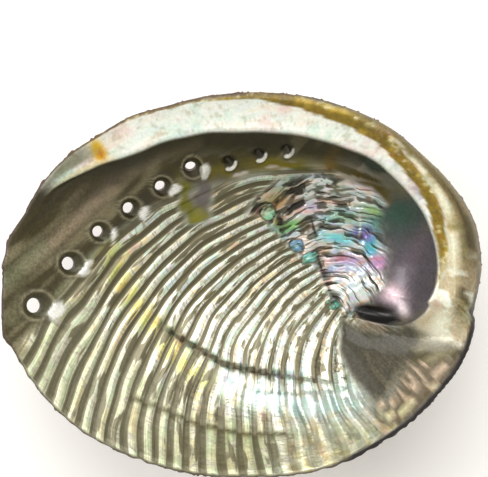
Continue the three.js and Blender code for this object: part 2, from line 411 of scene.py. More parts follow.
    def rounded(self, knots: list[tuple], steps: int) -> list[tuple]:
        """Rings along a smooth curve through the shelf's knots.

        Args:
            knots: radius and height of each column at each knot.
            steps: how many rings lie between the first and last knot.

        Returns:
            The first knot's ring and the others up to the last.
        """
        points = np.array(knots)
        n = len(points)
        padded = np.concatenate([2 * points[:1] - points[1:2], points, 2 * points[-1:] - points[-2:-1]])
        rings = []
        for k in range(steps + 1):
            s = k / steps * (n - 1)
            i = min(int(s), n - 2)
            t = s - i
            p0, p1, p2, p3 = padded[i : i + 4]
            ring = 0.5 * (
                2 * p1
                + (p2 - p0) * t
                + (2 * p0 - 5 * p1 + 4 * p2 - p3) * t**2
                + (3 * p1 - p0 - 3 * p2 + p3) * t**3
            )
            rings.append((ring[0], ring[1]))
        return rings


@dataclass(frozen=True)
class Spiral:
    """The growth spiral seen from above: ribs follow it, growth lines cross it."""

    pole: Point = (54.6, -13.9)
    opening: float = 0.577
    scale: float = 126.8
    seam: float = 2.65
    ribs: int = 43
    crowding: float = 0.546
    crowded_at: float = 3.0
    margin: tuple[Point, ...] = (
        (2.65, 134), (3.09, 133.6), (3.5, 116.6), (4.3, 90), (5.08, 67), (5.73, 52.4),
        (6.56, 38.4), (7.42, 29.2), (8.38, 24.1), (8.93, 23.1),
    )  # fmt: skip

    def label(self, x: Array, y: Array) -> tuple[Array, Array]:
        """Which rib a point is on, and how far it is from the spire.

        Args:
            x: plan position in mm.
            y: plan position in mm.

        Returns:
            The rib's angle at full size, from seam to seam plus a turn, and the distance in mm.
        """
        dx, dy = x - self.pole[0], y - self.pole[1]
        reach = np.maximum(np.hypot(dx, dy), 0.3)
        angle = np.arctan2(dy, dx) - np.log(reach / self.scale) / self.opening
        return self.seam + (angle - self.seam) % (2 * math.pi), reach

    def rib_phase(self, label: Array) -> Array:
        """Ribs counted along the edge; they crowd near the row of holes."""
        warp = self.crowding * np.sin(label - self.crowded_at)
        return self.ribs * (label + warp) / (2 * math.pi)

    def rib_pitch(self, label: Array, reach: Array) -> Array:
        """Distance between ribs, in mm."""
        density = self.ribs * (1 + self.crowding * np.cos(label - self.crowded_at)) / (2 * math.pi)
        return reach / (math.hypot(1, 1 / self.opening) * density)

    def course(self, x: Array, y: Array) -> tuple[Array, Array, Array]:
        """Where a point is on the growing shell.

        Args:
            x: plan position in mm.
            y: plan position in mm.

        Returns:
            The label, the distance from the spire, and its age: growth back from the edge in
            radians of coiling.
        """
        label, reach = self.label(x, y)
        at = np.array([a for a, _ in self.margin])
        size = np.log([r for _, r in self.margin])
        return label, reach, (np.interp(label, at, size) - np.log(reach)) / self.opening


@dataclass(frozen=True)
class Area:
    """A region of the shell seen from above with a soft border, in mm."""

    points: tuple[Point, ...]
    soft: float = 1.5

    def __call__(self, x: Array, y: Array) -> Array:
        """How much each point is in the region.

        Args:
            x: plan position.
            y: plan position.

        Returns:
            1 well inside, 0 well outside.
        """
        border = self.points + self.points[:1]
        nearest = distance(border, x, y)
        inside = np.zeros(x.shape, bool)
        for (ax, ay), (bx, by) in zip(border, border[1:]):
            crosses = (ay > y) != (by > y)
            inside ^= crosses & (x < ax + (y - ay) * (bx - ax) / (by - ay or 1e-9))
        return smooth(-self.soft, self.soft, np.where(inside, nearest, -nearest))


@dataclass
class Relief:
    """What stands out of the plain surfaces: ribs, growth lines, scar, hole mouths, spire."""

    form: Form
    spiral: Spiral
    rib_height: float = 0.16
    deepest_bore: float = 12.0
    probe_step: float = 0.05
    scar_centre: Point = (31.0, -13.0)
    calm: Patch = Patch((40, -1), (9, 8), -12)
    # Where the ribs' crests are wide; paint also widens their painted highlight here.
    wide_crest_highlight: Patch = Patch((18, -26), (44, 20), -8)
    wander: Noise = Noise(3)
    crinkle: Noise = Noise(11)
    grit: Noise = Noise(23)
    scar: Area = Area((
        (0.5, 26.2), (6.3, 25.2), (10.0, 20.1), (17.5, 13.6), (22.3, 8.8), (27.0, 6.5),
        (28.4, 0.7), (30.8, -4.4), (36.5, -10.0), (46.0, -9.0), (50.0, 0.0), (54.0, 7.5),
        (54.0, 17.0), (52.5, 26.0), (45.0, 34.0), (28.0, 40.0), (12.0, 38.0), (4.0, 32.0),
    ))  # fmt: skip
    fan: Area = Area((
        (34.9, -11.6), (33.8, -23.1), (37.6, -32.0), (45.0, -40.5), (49.0, -38.0), (56.6, -27.9),
        (60.4, -18.0), (58.3, -12.9), (47.8, -16.7), (39.3, -15.3),
    ), 1.8)  # fmt: skip
    mauve: Area = Area((
        (47.0, -5.5), (51.5, 2.5), (50.5, 9.5), (50.0, 17.5), (49.0, 25.0), (53.0, 31.0),
        (62.0, 29.0), (69.0, 14.0), (68.0, -6.0), (60.0, -13.0), (51.0, -11.0),
    ), 3.2)  # fmt: skip
    pads: tuple[Patch, ...] = (
        Patch((8.8, 26.2), (2.7, 2.2), 25),
        Patch((19.0, 14.4), (2.6, 2.3), 30),
        Patch((23.9, 10.2), (3.2, 2.0), 20),
        Patch((32.4, -7.4), (2.6, 1.9), -10),
    )
    rest_line: Stroke = Stroke((
        (-34.0, -8.0), (-32.1, -11.9), (-27.7, -16.0), (-20.6, -20.4), (-7.0, -28.2), (6.6, -30.9),
        (29.4, -32.6),
    ), 1.5)  # fmt: skip
    later_line: Stroke = Stroke(
        ((-38.9, -38.8), (-26.4, -43.5), (-17.2, -47.6), (0.2, -51.3), (14.0, -51.0)), 1.0
    )
    cracks: tuple[Stroke, ...] = (
        Stroke(((-7.0, -32.6), (6.6, -37.4), (20.0, -37.6), (32.5, -36.4)), 0.45),
        Stroke(((24.3, 23.8), (26.0, 18.0), (26.7, 11.0), (29.0, 2.5), (33.0, -7.5)), 0.6),
    )
    pale_crack: Stroke = Stroke(((41.3, 27.0), (41.8, 22.0), (41.4, 17.5)), 0.45)
    band: Stroke = Stroke(
        ((-4.0, -35.6), (8.7, -40.2), (22.3, -42.0), (35.9, -40.4), (45.0, -36.0)), 5.4
    )

    def holes(self) -> list[tuple[Hole, Array, Array, float]]:
        """Each hole's place.

        Returns:
            The hole, its point on the inside, the way out through the wall, and the wall's depth.
        """
        found = []
        for hole in self.form.holes:
            x, y = hole.at

            def height(px: float, py: float) -> float:
                """Height of the inside there."""
                return float(self.form.inside_height(*self.form.polar(np.float64(px), np.float64(py))))

            sx = (height(x + 1, y) - height(x - 1, y)) / 2
            sy = (height(x, y + 1) - height(x, y - 1)) / 2
            out = np.array([sx * self.form.hole_lean, sy * self.form.hole_lean, -1.0])
            out = out / np.linalg.norm(out)
            inner = np.array([x, y, height(x, y)])
            depth = 0.0
            while depth < self.deepest_bore:
                p = inner + out * depth
                if p[2] <= self.form.back_height(*self.form.polar(p[0], p[1])):
                    break
                depth += self.probe_step
            found.append((hole, inner, out, depth))
        return found

    def rib_phase(self, x: Array, y: Array) -> Array:
        """Ribs counted along the edge, with their slight wander."""
        label, _ = self.spiral.label(x, y)
        return self.spiral.rib_phase(label) + 0.42 * self.wander(x, y, 20.0, 2)

    def rib_wave(self, x: Array, y: Array) -> tuple[Array, Array]:
        """Height of the ribs from 0 to 1, and how fully they are there.

        Args:
            x: plan position in mm.
            y: plan position in mm.

        Returns:
            The wave, and its strength from 0 to 1.
        """
        phase = self.rib_phase(x, y)
        wave = (0.5 + 0.5 * np.cos(2 * math.pi * phase)) ** mix(1.25, 0.55, self.wide_crest_highlight(x, y))
        uneven = 0.75 + 0.45 * self.wander(x + 300, y, 14.0, 2)
        return wave, self.ribbed(x, y) * np.clip(uneven, 0.2, 1.2)

    def ribbed(self, x: Array, y: Array) -> Array:
        """Where there are ribs inside: from the row of holes round to the fan.

        Args:
            x: plan position in mm.
            y: plan position in mm.

        Returns:
            1 where there are ribs, fading to 0 elsewhere.
        """
        label, _ = self.spiral.label(x, y)
        start = 3.09 + 0.12 * smooth(-25, -5, x) + 0.35 * smooth(30, 44, x)
        beyond = smooth(60, 54, x) * (1 - smooth(42, 45, x) * smooth(-14, -10, y))
        return smooth(0.0, 0.11, label - start) * smooth(9.0, 7.6, label) * beyond

    def hollow(self, x: Array, y: Array) -> Array:
        """The smooth mauve hollow beside the scar; its border wavers."""
        return self.mauve(x + 3.2 * self.wander(x, y, 5.0, 3), y + 2.4 * self.wander(y, x, 5.0, 3))

    def glint(self, x: Array, y: Array) -> Array:
        """The small swelling below each open hole, and the lip of each closed one; paint lays a white
        highlight on both.

        Args:
            x: plan position in mm.
            y: plan position in mm.

        Returns:
            About 1 on a swelling or a lip, and 0 elsewhere.
        """
        total = np.zeros(x.shape)
        wx, wy = x + 1.3 * self.wander(x, y, 3.2, 2), y + 1.3 * self.wander(y, x, 3.2, 2)
        for hole in self.form.holes:
            bore, (hx, hy) = hole.bore, hole.at
            if hole.open:
                reach = (0.66 * bore, 0.34 * bore)
                total += 1.2 * Patch((hx + 1.25 * bore, hy - 0.35 * bore), reach, 60)(wx, wy)
            else:
                dx, dy = x - hx, y - hy
                near = np.hypot(dx, dy)
                side = smooth(0.25, 0.8, (0.6 * dx - 0.8 * dy) / np.maximum(near, 0.1))
                total += side * np.exp(-(((near - 0.7 * bore) / 0.65) ** 2))
        return total

    def folds(self, x: Array, y: Array) -> Array:
        """Wavy wrinkles between the fan and the edge, from -1 to 1."""
        _, _, age = self.spiral.course(x, y)
        bend = 1.1 * self.wander(x, y, 9.0, 3)
        return np.sin(2 * math.pi * (age * 9.0 + bend)) * (0.7 + 0.6 * self.wander(y, x, 7.0, 2))

    def fold(self, x: Array, y: Array) -> tuple[Array, Array]:
        """Place across and along the scar's crinkles, which arch over its middle."""
        dx, dy = x - self.scar_centre[0], (y - self.scar_centre[1]) * 0.85
        bend = 1.5 * self.wander(x, y, 8.0, 3)
        return (np.hypot(dx, dy) + bend) / 2.1, (dx + 0.3 * dy) / 8.0 + 0.5 * bend

    def gritty(self, x: Array, y: Array) -> tuple[Array, Array]:
        """The same places shaken a little, for the ragged borders of the pads."""
        return x + self.grit(x, y, 3.0, 2), y + self.grit(y, x, 3.0, 2)

    def creases(self, x: Array, y: Array) -> Array:
        """The scar's crinkles, 1 on their sharp crests."""
        return 1 - np.abs(self.crinkle(*self.fold(x, y), 1.0, 3)) * 1.6

    def inside(self, x: Array, y: Array) -> Array:
        """Relief of the inside.

        Args:
            x: plan position in mm.
            y: plan position in mm.

        Returns:
            How far it stands up from the plain bowl, in mm.
        """
        label, reach, age = self.spiral.course(x, y)
        wave, there = self.rib_wave(x, y)
        scar, fan = self.scar(x, y), self.fan(x, y)
        pitch, mauve = self.spiral.rib_pitch(label, reach), self.hollow(x, y)
        ribs = (1 - 0.9 * scar) * (1 - 0.9 * fan) * (1 - mauve) * (0.5 + 0.5 * smooth(0.0, 0.2, age))
        rise = self.rib_height * pitch * (wave - 0.4) * there * ribs
        rough = scar * (1 - mauve)
        crests = 0.6 * (self.creases(x, y) - 0.6) * (1 - 0.7 * self.calm(x, y))
        rise += rough * (crests + 0.22 * self.crinkle(x, y, 2.6, 2))
        for pad in self.pads:
            rise += 0.4 * smooth(0.25, 0.7, pad(*self.gritty(x, y)))
        rise -= 0.3 * self.rest_line(x, y) + 0.25 * self.later_line(x, y)
        for crack in self.cracks:
            rise -= 0.2 * crack(x, y)
        creased = smooth(6.2, 7.2, label) * (1 - fan) * smooth(8, 22, reach)
        rise += 0.55 * self.folds(x, y) * creased
        rise += 0.12 * self.grit(x, y, 5.0, 3)
        rise += 0.75 * self.glint(x, y)
        for hole in self.form.holes:
            bore = hole.bore / 2
            if hole.open:
                near = np.hypot(x - hole.at[0] - 0.35 * bore, y - hole.at[1] + 0.1 * bore)
                rise -= 1.2 * smooth(bore * 1.75, bore * 0.95, near)
                rise += 0.25 * np.exp(-(((near - bore * 1.95) / 0.8) ** 2))
            else:
                near = np.hypot(x - hole.at[0] + 0.3, (y - hole.at[1] - 0.3) * 1.5)
                rise -= 1.9 * smooth(bore * 1.5, 0.0, near)
        return rise

    def back_wave(self, x: Array, y: Array) -> Array:
        """Height of the outside's spiral ribs, from 0 to 1."""
        label, _ = self.spiral.label(x, y)
        phase = self.spiral.rib_phase(label) + 0.35 * self.wander(x, y, 20.0, 2)
        return np.abs(np.cos(math.pi * phase)) ** 1.6

    def back(self, x: Array, y: Array, z: Array) -> Array:
        """Relief of the outside.

        Args:
            x: plan position in mm.
            y: plan position in mm.
            z: height in mm; the relief fades out where the shell rests.

        Returns:
            How far it stands out from the plain back, in mm.
        """
        label, reach, age = self.spiral.course(x, y)
        pitch, wave = self.spiral.rib_pitch(label, reach), self.back_wave(x, y)
        rings = 0.5 + 0.5 * np.sin(2 * math.pi * (age * 9 + 0.8 * self.wander(x, y, 24.0, 2)))
        fine = self.grit(age * 260, label * 14, 5.0, 3)
        rise = 0.12 * pitch * (wave - 0.5) * (0.7 + 0.3 * self.wander(x, y, 9.0))
        rise += 0.45 * (rings**2 - 0.3) + 0.28 * fine + 0.3 * self.grit(x, y, 6.0, 3)
        turns = np.log(np.maximum(reach, 1) / 24.0) / self.spiral.opening
        angle = np.arctan2(y - self.spiral.pole[1], x - self.spiral.pole[0]) + 0.05
        off = (angle - turns + math.pi) % (2 * math.pi) - math.pi
        groove = np.exp(-((off * reach * 0.45 / 1.6) ** 2)) * smooth(27, 20, reach)
        rise -= 1.3 * groove * smooth(0.6, 3, reach)
        sites = self.holes()
        centres = [inner + out * depth for _, inner, out, depth in sites]
        row = Stroke(tuple((float(c[0]), float(c[1])) for c in centres), 4.2)
        rise += 0.9 * row(x, y)
        for (hole, *_), centre in zip(sites, centres):
            bore = hole.bore / 2
            slope = np.array([centre[0] - self.form.bowl[0], centre[1] - self.form.bowl[1]])
            slope = slope / np.hypot(*slope)
            dx, dy = x - centre[0], y - centre[1]
            radial = dx * slope[0] + dy * slope[1]
            across = dy * slope[0] - dx * slope[1]
            near = np.hypot(radial * 1.25, across)
            if hole.open:
                rise += 1.1 * np.exp(-(((near - bore - 0.9) / 0.95) ** 2))
            else:
                rise += 0.9 * np.exp(-((near / (bore + 1.2)) ** 2)) - 0.9 * np.exp(-((near / 1.2) ** 2))
        return rise * smooth(0.2, 4.0, z)


def only(made: list, kind: type) -> list:
    """The vertices or the edges among what an operator made."""
    return [g for g in made if isinstance(g, kind)]


@dataclass
class Shell:
    """The shell's mesh, from the form and relief."""

    form: Form
    relief: Relief
    cells: tuple[int, int] = (188, 160)
    edge_steps: tuple[int, int, int] = (11, 12, 6)
    weld: float = 0.004
    # How far into the scar, the pads and the bores' surrounds the finer mesh reaches.
    finer: tuple[float, float, float] = (0.4, 0.14, 0.98)
    # Each ring of a bore's rounded mouth: its share of the radius, and how deep it is.
    mouth: tuple[Point, ...] = ((1.0, 0.0), (0.95, 0.25), (0.91, 0.6))
    bore_search: float = 9.0
    bore_clear: float = 0.92

    def disc(self, u: Array, v: Array) -> tuple[Array, Array]:
        """Maps a square grid onto the round bowl.

        Args:
            u: grid position from -1 to 1.
            v: grid position from -1 to 1.

        Returns:
            Azimuth in degrees and share of the radius.
        """
        u, v = np.where(np.abs(u) < 1e-9, 1e-9, u), np.where(np.abs(v) < 1e-9, 1e-9, v)
        wide = np.abs(u) > np.abs(v)
        share = np.where(wide, u, v)
        turn = np.where(wide, math.pi / 4 * v / u, math.pi / 2 - math.pi / 4 * u / v)
        return (np.degrees(turn) + np.where(share < 0, 180, 0)) % 360, np.abs(share)

    @staticmethod
    def place(verts: list, x: Array, y: Array, z: Array) -> None:
        """Moves vertices to these positions, given in mm."""
        for vert, px, py, pz in zip(verts, x * MM, y * MM, z * MM):
            vert.co = (px, py, pz)

    def build(self) -> bpy.types.Object:
        """Makes the finished shell.

        Returns:
            The mesh object, at the origin.
        """
        bm = bmesh.new()
        zone = bm.verts.layers.float.new("zone")
        nx, ny = self.cells
        for at in (Zone.INSIDE, Zone.BACK):
            verts = bmesh.ops.create_grid(bm, x_segments=nx, y_segments=ny, size=1.0)["verts"]
            co = np.array([v.co for v in verts])
            azimuth, share = self.disc(co[:, 0] / co[:, 0].max(), co[:, 1] / co[:, 1].max())
            if at is Zone.INSIDE:
                radius = share * self.form.edge_profile(azimuth, self.edge_steps)[0][0]
                z = self.form.inside_height(azimuth, radius)
            else:
                radius = share * self.form.outline(azimuth)
                z = self.form.back_height(azimuth, radius)
                rim = share > 1 - 1e-6
                z[rim] = self.form.edge_profile(azimuth[rim], self.edge_steps)[-1][1]
            self.place(verts, *self.form.plan(azimuth, radius), z)
            for v in verts:
                v[zone] = at.value
        self.add_edge(bm, zone)
        bmesh.ops.remove_doubles(bm, verts=bm.verts[:], dist=self.weld * MM)
        bmesh.ops.recalc_face_normals(bm, faces=bm.faces[:])
        self.refine(bm, zone)
        self.raise_relief(bm, zone)
        for hole, inner, out, _ in self.relief.holes():
            if hole.open:
                self.bore(bm, zone, hole, inner, out)
        bmesh.ops.recalc_face_normals(bm, faces=bm.faces[:])
        mesh = bpy.data.meshes.new("abalone_shell")
        for face in bm.faces:
            face.smooth = True
        bm.to_mesh(mesh)
        bm.free()
        shell = bpy.data.objects.new("shell", mesh)
        bpy.context.scene.collection.objects.link(shell)
        return shell

    def add_edge(self, bm: BMesh, zone: object) -> None:
        """Extrudes the rings of the shelf and the edge from the bowl's wall to the back.

        Args:
            bm: holds the two grids.
            zone: the layer of zone numbers.
        """
        loop = [e for e in bm.edges if e.is_boundary and all(v[zone] < NEARLY for v in e.verts)]
        count = sum(self.edge_steps)
        for k in range(1, count + 1):
            made = bmesh.ops.extrude_edge_only(bm, edges=loop)["geom"]
            verts = only(made, bmesh.types.BMVert)
            fresh = set(verts)
            loop = [e for e in only(made, bmesh.types.BMEdge) if fresh.issuperset(e.verts)]
            co = np.array([v.co for v in verts]) / MM
            azimuth, _ = self.form.polar(co[:, 0], co[:, 1])
            radius, z = self.form.edge_profile(azimuth, self.edge_steps)[k]
            self.place(verts, *self.form.plan(azimuth, radius), z)
            for v in verts:
                v[zone] = k / count * Zone.EDGE.value

    def refine(self, bm: BMesh, zone: object) -> None:
        """Halves the mesh of the inside on the scar and round the holes.

        Args:
            bm: the plain shell.
            zone: the layer of zone numbers.
        """
        bm.verts.index_update()
        co = np.array([v.co for v in bm.verts]) / MM
        x, y, _ = co.T
        on_scar, on_pad, round_hole = self.finer
        fine = self.relief.scar(x, y) * (1 - self.relief.hollow(x, y)) > on_scar
        for pad in self.relief.pads:
            fine |= pad(x, y) > on_pad
        for hole in self.form.holes:
            near = np.hypot(x - hole.at[0] - 0.2 * hole.bore, y - hole.at[1])
            fine |= near < round_hole * hole.bore
        fine &= np.array([v[zone] for v in bm.verts]) < NEARLY
        edges = [e for e in bm.edges if all(fine[v.index] for v in e.verts)]
        bmesh.ops.subdivide_edges(bm, edges=edges, cuts=1, use_grid_fill=True)

    def raise_relief(self, bm: BMesh, zone: object) -> None:
        """Moves every vertex along its normal by the relief there.

        Args:
            bm: the plain shell.
            zone: the layer of zone numbers.
        """
        bm.normal_update()
        co = np.array([v.co for v in bm.verts]) / MM
        normal = np.array([v.normal for v in bm.verts])
        where = np.array([v[zone] for v in bm.verts])
        x, y, z = co.T
        azimuth, _ = self.form.polar(x, y)
        crest_share = sum(self.edge_steps[:2]) / sum(self.edge_steps)
        shelf = np.clip(self.form.shelf_lift(azimuth), 0, 1)
        on_edge = (where > 0) & (where <= 1)
        roll = smooth(crest_share - 0.1, 1.0, where) * on_edge
        inner = np.where(on_edge, (1 - shelf) * (1 - roll), 1.0)
        top = self.relief.grit(x * 0.5 + y, y - x, 6.0, 3) * smooth(0.3, 0.5, where) * shelf
        wave, _ = self.relief.rib_wave(x, y)
        nick = 0.30 * (wave - 0.5) + 0.30 * self.relief.grit(x, y, 2.2, 2)
        rise = np.where(
            where > BACK_FROM,
            self.relief.back(x, y, z),
            self.relief.inside(x, y) * inner + 0.10 * top + nick * roll * (1 - 0.7 * shelf),
        )
        moved = co + normal * rise[:, None]
        moved[:, 2] = np.maximum(moved[:, 2], 0)
        self.place(bm.verts, *moved.T)

    def bore(self, bm: BMesh, zone: object, hole: Hole, inner: Array, out: Array) -> None:
        """Opens one breathing hole through the wall.

        Args:
            bm: the shell with its relief.
            zone: the layer of zone numbers.
            hole: the hole.
            inner: its point on the inside, in mm.
            out: the way out through the wall.
        """
        base, axis = Vector(inner) * MM, Vector(out)
        radius = hole.bore / 2 * MM

        def to_ring(verts: set, share: float, step: float) -> None:
            """Moves vertices to a share of the bore's radius, and a step in mm along its axis."""
            for vert in verts:
                off = vert.co - base
                along = off.dot(axis)
                spoke = (off - axis * along).normalized()
                vert.co = base + axis * (along + step * MM) + spoke * radius * share

        rims = [self.open_wall(bm, zone, base, axis, radius, back) for back in (False, True)]
        most = max(len(rim) for rim in rims)
        loops = []
        for rim, inward in zip(rims, (1.0, -1.0)):
            while len(rim) < most:
                longest = max(rim, key=lambda e: e.calc_length())
                cut = bmesh.ops.subdivide_edges(bm, edges=[longest], cuts=1)["geom_split"]
                rim = {e for e in rim | set(only(cut, bmesh.types.BMEdge)) if e.is_valid}
            to_ring({v for e in rim for v in e.verts}, *self.mouth[0])
            edges = list(rim)
            for share, step in self.mouth[1:]:
                made = bmesh.ops.extrude_edge_only(bm, edges=edges)["geom"]
                fresh = set(only(made, bmesh.types.BMVert))
                to_ring(fresh, share, step * inward)
                edges = [e for e in only(made, bmesh.types.BMEdge) if fresh.issuperset(e.verts)]
            loops += edges
        bmesh.ops.bridge_loops(bm, edges=loops)

    def open_wall(
        self, bm: BMesh, zone: object, base: Vector, axis: Vector, radius: float, back: bool
    ) -> set:
        """Takes the skin away over a bore on one side of the wall.

        Args:
            bm: the shell.
            zone: the layer of zone numbers.
            base: the bore's point on the inside.
            axis: the way out through the wall.
            radius: the bore's radius.
            back: whether this is the outer side.

        Returns:
            The edges round the opening.
        """
        gone = []
        for vert in bm.verts:
            off = vert.co - base
            along = off.dot(axis)
            if abs(along) < self.bore_search * MM and (vert[zone] > BACK_FROM) == back:
                if (off - axis * along).length < radius * self.bore_clear:
                    gone.append(vert)
        near = {e for v in gone for f in v.link_faces for e in f.edges}
        bmesh.ops.delete(bm, geom=gone, context="VERTS")
        return {e for e in near if e.is_valid and e.is_boundary}


# ---- finishes --------------------------------------------------------------------------------


def add_node(
    tree: Tree, kind: str, settings: dict | None = None, links: dict | None = None
) -> bpy.types.Node:
    """Adds a node, sets it up and links its inputs.

    Args:
        tree: the node tree.
        kind: the node's type, without ShaderNode before it.
        settings: attribute names, or socket names, with their values.
        links: input socket names, or numbers, with the output sockets that feed them.

    Returns:
        The node.
    """
    node = tree.nodes.new("ShaderNode" + kind)
    for name, value in (settings or {}).items():
        if name in node.inputs:
            node.inputs[name].default_value = value
        else:
            setattr(node, name, value)
    for name, source in (links or {}).items():
        tree.links.new(source, node.inputs[name])
    return node


@dataclass(frozen=True)
class Tone:
    """A stretch of the shell with a colour of its own."""

    colour: str
    where: Patch | Stroke
    amount: float = 1.0

    def coat(self, x: Array, y: Array, within: Array | float) -> tuple[str, Array]:
        """The tone as a coat of colour, kept within a mask."""
        return self.colour, self.where(x, y) * self.amount * within


def painted(ground: str, coats: Coats) -> Array:
    """Lays coats of colour over a ground, in their order.

    Args:
        ground: the ground's sRGB hex colour.
        coats: hex colours, each with how much of it each vertex gets, from 0 to 1.

    Returns:
        Linear colours, one row for each vertex.
    """
    colour = np.tile(np.array(linear(ground)[:3]), (len(coats[0][1]), 1))
    for hex_colour, amount in coats:
        target = np.array(linear(hex_colour)[:3])
        colour = colour + (target - colour) * np.clip(amount, 0, 1)[:, None]
    return colour


@dataclass
class Paint:
    """The shell's colours, with its painted highlights and shade, worked out for each vertex."""

    form: Form
    spiral: Spiral
    relief: Relief
    mottle: Noise = Noise(41)
    streak: Noise = Noise(57)
    speck: Noise = Noise(71)
    nacre_ground: str = "#77725A"
    skin_ground: str = "#703F31"
    tone_strength: float = 1.3
    lines_per_radian: float = 16.0
    white_end: Around = field(default_factory=lambda: Around([
        (0, 0.02), (12, 0.06), (25, 0.2), (38, 0.31), (54, 0.44), (69, 0.55), (83, 0.66),
        (103, 0.8), (116, 0.86), (150, 0.92), (340, 0), (352, 0),
    ]))  # fmt: skip
    gold_end: Around = field(default_factory=lambda: Around([
        (0, 0.2), (8, 0.26), (24, 0.46), (38, 0.6), (54, 0.84), (69, 0.93), (83, 0.97),
        (103, 1.0), (150, 1.0), (330, 0), (351, 0.02),
    ]))  # fmt: skip
    pale_end: Around = field(default_factory=lambda: Around([
        (0, 0.48), (7, 0.52), (24, 0.64), (40, 0.74), (56, 0.8), (70, 0.88), (100, 1.0), (150, 1.0),
        (330, 0.5), (343, 0.42), (351, 0.44),
    ]))  # fmt: skip
    scar_tones: tuple[Tone, ...] = (
        Tone("#8ADFEA", Patch((36, 17), (8, 2.0), -6)),
        Tone("#62CBE0", Patch((45.5, 14), (2.4, 6), 8)),
        Tone("#8F7CCB", Patch((43, 18.5), (4.5, 3))),
        Tone("#E3A9DC", Patch((37, 9.0), (5.5, 2.2), -8)),
        Tone("#E3A2DA", Patch((48.0, 8.0), (3.4, 2.8))),
        Tone("#AFA8D6", Patch((36, 5.0), (8, 2.6))),
        Tone("#A5CF80", Patch((47, 26), (6, 1.5), -22), 0.8),
        Tone("#93CFC4", Patch((36, 24.5), (8, 2.4), -10), 0.7),
        Tone("#5B9683", Patch((49, 22), (4.5, 4.0)), 0.7),
        Tone("#8FC47E", Patch((17, 21.5), (5, 2.0), 28)),
        Tone("#7C8446", Patch((12.5, 22.5), (3.4, 2.6), -20), 0.8),
        Tone("#B39A5C", Patch((10, 31), (9, 5), 15), 0.6),
        Tone("#EBD3E8", Patch((24, 28), (6, 2.6), 10)),
        Tone("#B98F4E", Patch((12, 30), (5.5, 2.2), 35), 0.7),
        # A near white patch low on the scar is a painted highlight.
        Tone("#F8F5FA", Patch((39, 0), (8, 5.5), -12), 0.9),
    )
    hollow_tones: tuple[Tone, ...] = (
        Tone("#35564A", Patch((54, 25), (11, 8))),
        Tone("#6E5F6B", Patch((61, 13), (3, 12), -25), 0.6),
        # The pale pink patch low in the hollow is a painted highlight.
        Tone("#F6D9E6", Patch((52.5, -3.0), (4.2, 3.2), -25)),
    )
    # A second painted highlight, low in the hollow.
    hollow_shine: Tone = Tone("#FBE9F0", Patch((56.5, -9.0), (1.6, 2.4), 20))
    pad_colours: tuple[str, ...] = ("#A3D6B6", "#7CA8D2", "#82C6BE", "#68AE9A")
    stain: tuple[Tone, ...] = (
        Tone("#74730C", Patch((-21.4, 30.5), (2.2, 6.8), 10)),
        Tone("#8B8910", Patch((-16.8, 25.0), (4.2, 2.1), 22)),
        Tone("#6C6565", Patch((-14.6, 32.0), (3.4, 6.0), -12), 0.85),
    )
    wall_tones: tuple[Tone, ...] = (
        Tone("#6F6414", Patch((-9, 41), (7, 2.6), -6), 0.8),
        Tone("#7A6E12", Patch((13, 42.5), (13, 2.6), -5), 0.9),
        Tone("#8A6A1E", Patch((31, 41), (2.6, 6)), 0.8),
        Tone("#5A4A12", Patch((43, 35), (11, 5), -38), 0.9),
        Tone("#8C9A52", Patch((37, 30.5), (11, 1.6), -18), 0.8),
        Tone("#2E3A30", Patch((47, 42), (10, 5), -40), 0.9),
        Tone("#4F443C", Patch((-46, 37), (14, 3), 28), 0.5),
    )
    # Pale streaks slanting along the wall, painted sheen.
    wall_streaks: tuple[Tone, ...] = (
        Tone("#A8977F", Stroke(((-74.5, 6.5), (-63.0, 17.6), (-54.2, 26.9), (-46.4, 34.0)), 2.3), 0.85),
        Tone("#8B8F6E", Stroke(((-80.5, 1.0), (-75.0, 7.0), (-70.0, 12.5)), 2.8), 0.7),
        Tone("#8A8868", Stroke(((-79.0, -12.0), (-76.0, -5.0)), 2.4), 0.6),
        Tone("#7E7058", Stroke(((-44.0, 37.0), (-30.0, 45.0), (-16.0, 49.5)), 1.8), 0.7),
    )

    # A bright patch low on the left, a painted highlight.
    left_corner_highlight: Tone = Tone("#FBF8DC", Patch((-72.6, -19.2), (1.8, 2.6), -30), 1.2)
    right_corner: Patch = Patch((66.5, -20.2), (8.0, 2.6), 8)
    rippled: Patch = Patch((15, 38.5), (25, 5.5), -2)
    scar_shade: Patch = Patch((20, 34), (22, 7), -4)
    shelf_shade: Patch = Patch((58.5, 34.0), (11, 4), -58)
    shelf_side: Patch = Patch((75.0, -8.5), (3.2, 5.0), 10)
    shelf_blush: Tone = Tone("#CDB3A2", Patch((64.5, -5.5), (3.0, 3.4)), 0.9)
    shelf_foot: Tone = Tone("#F3F3E0", Patch((67.0, -13.5), (3.2, 5.0), -12), 0.9)
    orange_spot: tuple[Tone, ...] = (
        Tone("#F2C21A", Patch((-49.5, 45.2), (4.0, 2.2), 115), 1.7),
        Tone("#D08410", Patch((-48.8, 44.4), (2.4, 1.0), 115)),
    )

    def bowl(self, x: Array, y: Array) -> tuple[Coats, Array, Array, Array]:
        """The inside of the bowl.

        Args:
            x: plan position in mm.
            y: plan position in mm.

        Returns:
            Coats of colour, then masks: dullness, play of colour and how far it is lined by ribs.
        """
        relief = self.relief
        label, reach, age = self.spiral.course(x, y)
        scar, fan, mauve = relief.scar(x, y), relief.fan(x, y), relief.hollow(x, y)
        beige = smooth(6.45, 7.1, label) * (1 - fan)
        ribs = relief.ribbed(x, y) * (1 - scar) * (1 - fan) * (1 - beige) * (1 - mauve)
        margin = smooth(0.27, 0.17, age) * (1 - fan) * (label < 6.6)
        east = smooth(2, 22, x)
        patchy = self.speck(x + 40, y, 3.4, 3) * margin * east
        late = np.exp(-(((age - 0.33) / 0.06) ** 2)) * ribs * smooth(6.2, 5.6, label)
        band = relief.band(x, y) * (1 - fan)
        folds = smooth(-0.3, 0.7, relief.folds(x, y))
        wall = smooth(3.22, 3.1, label)
        slant = self.streak((x + y) * 0.14, y - x, 6.0, 2)
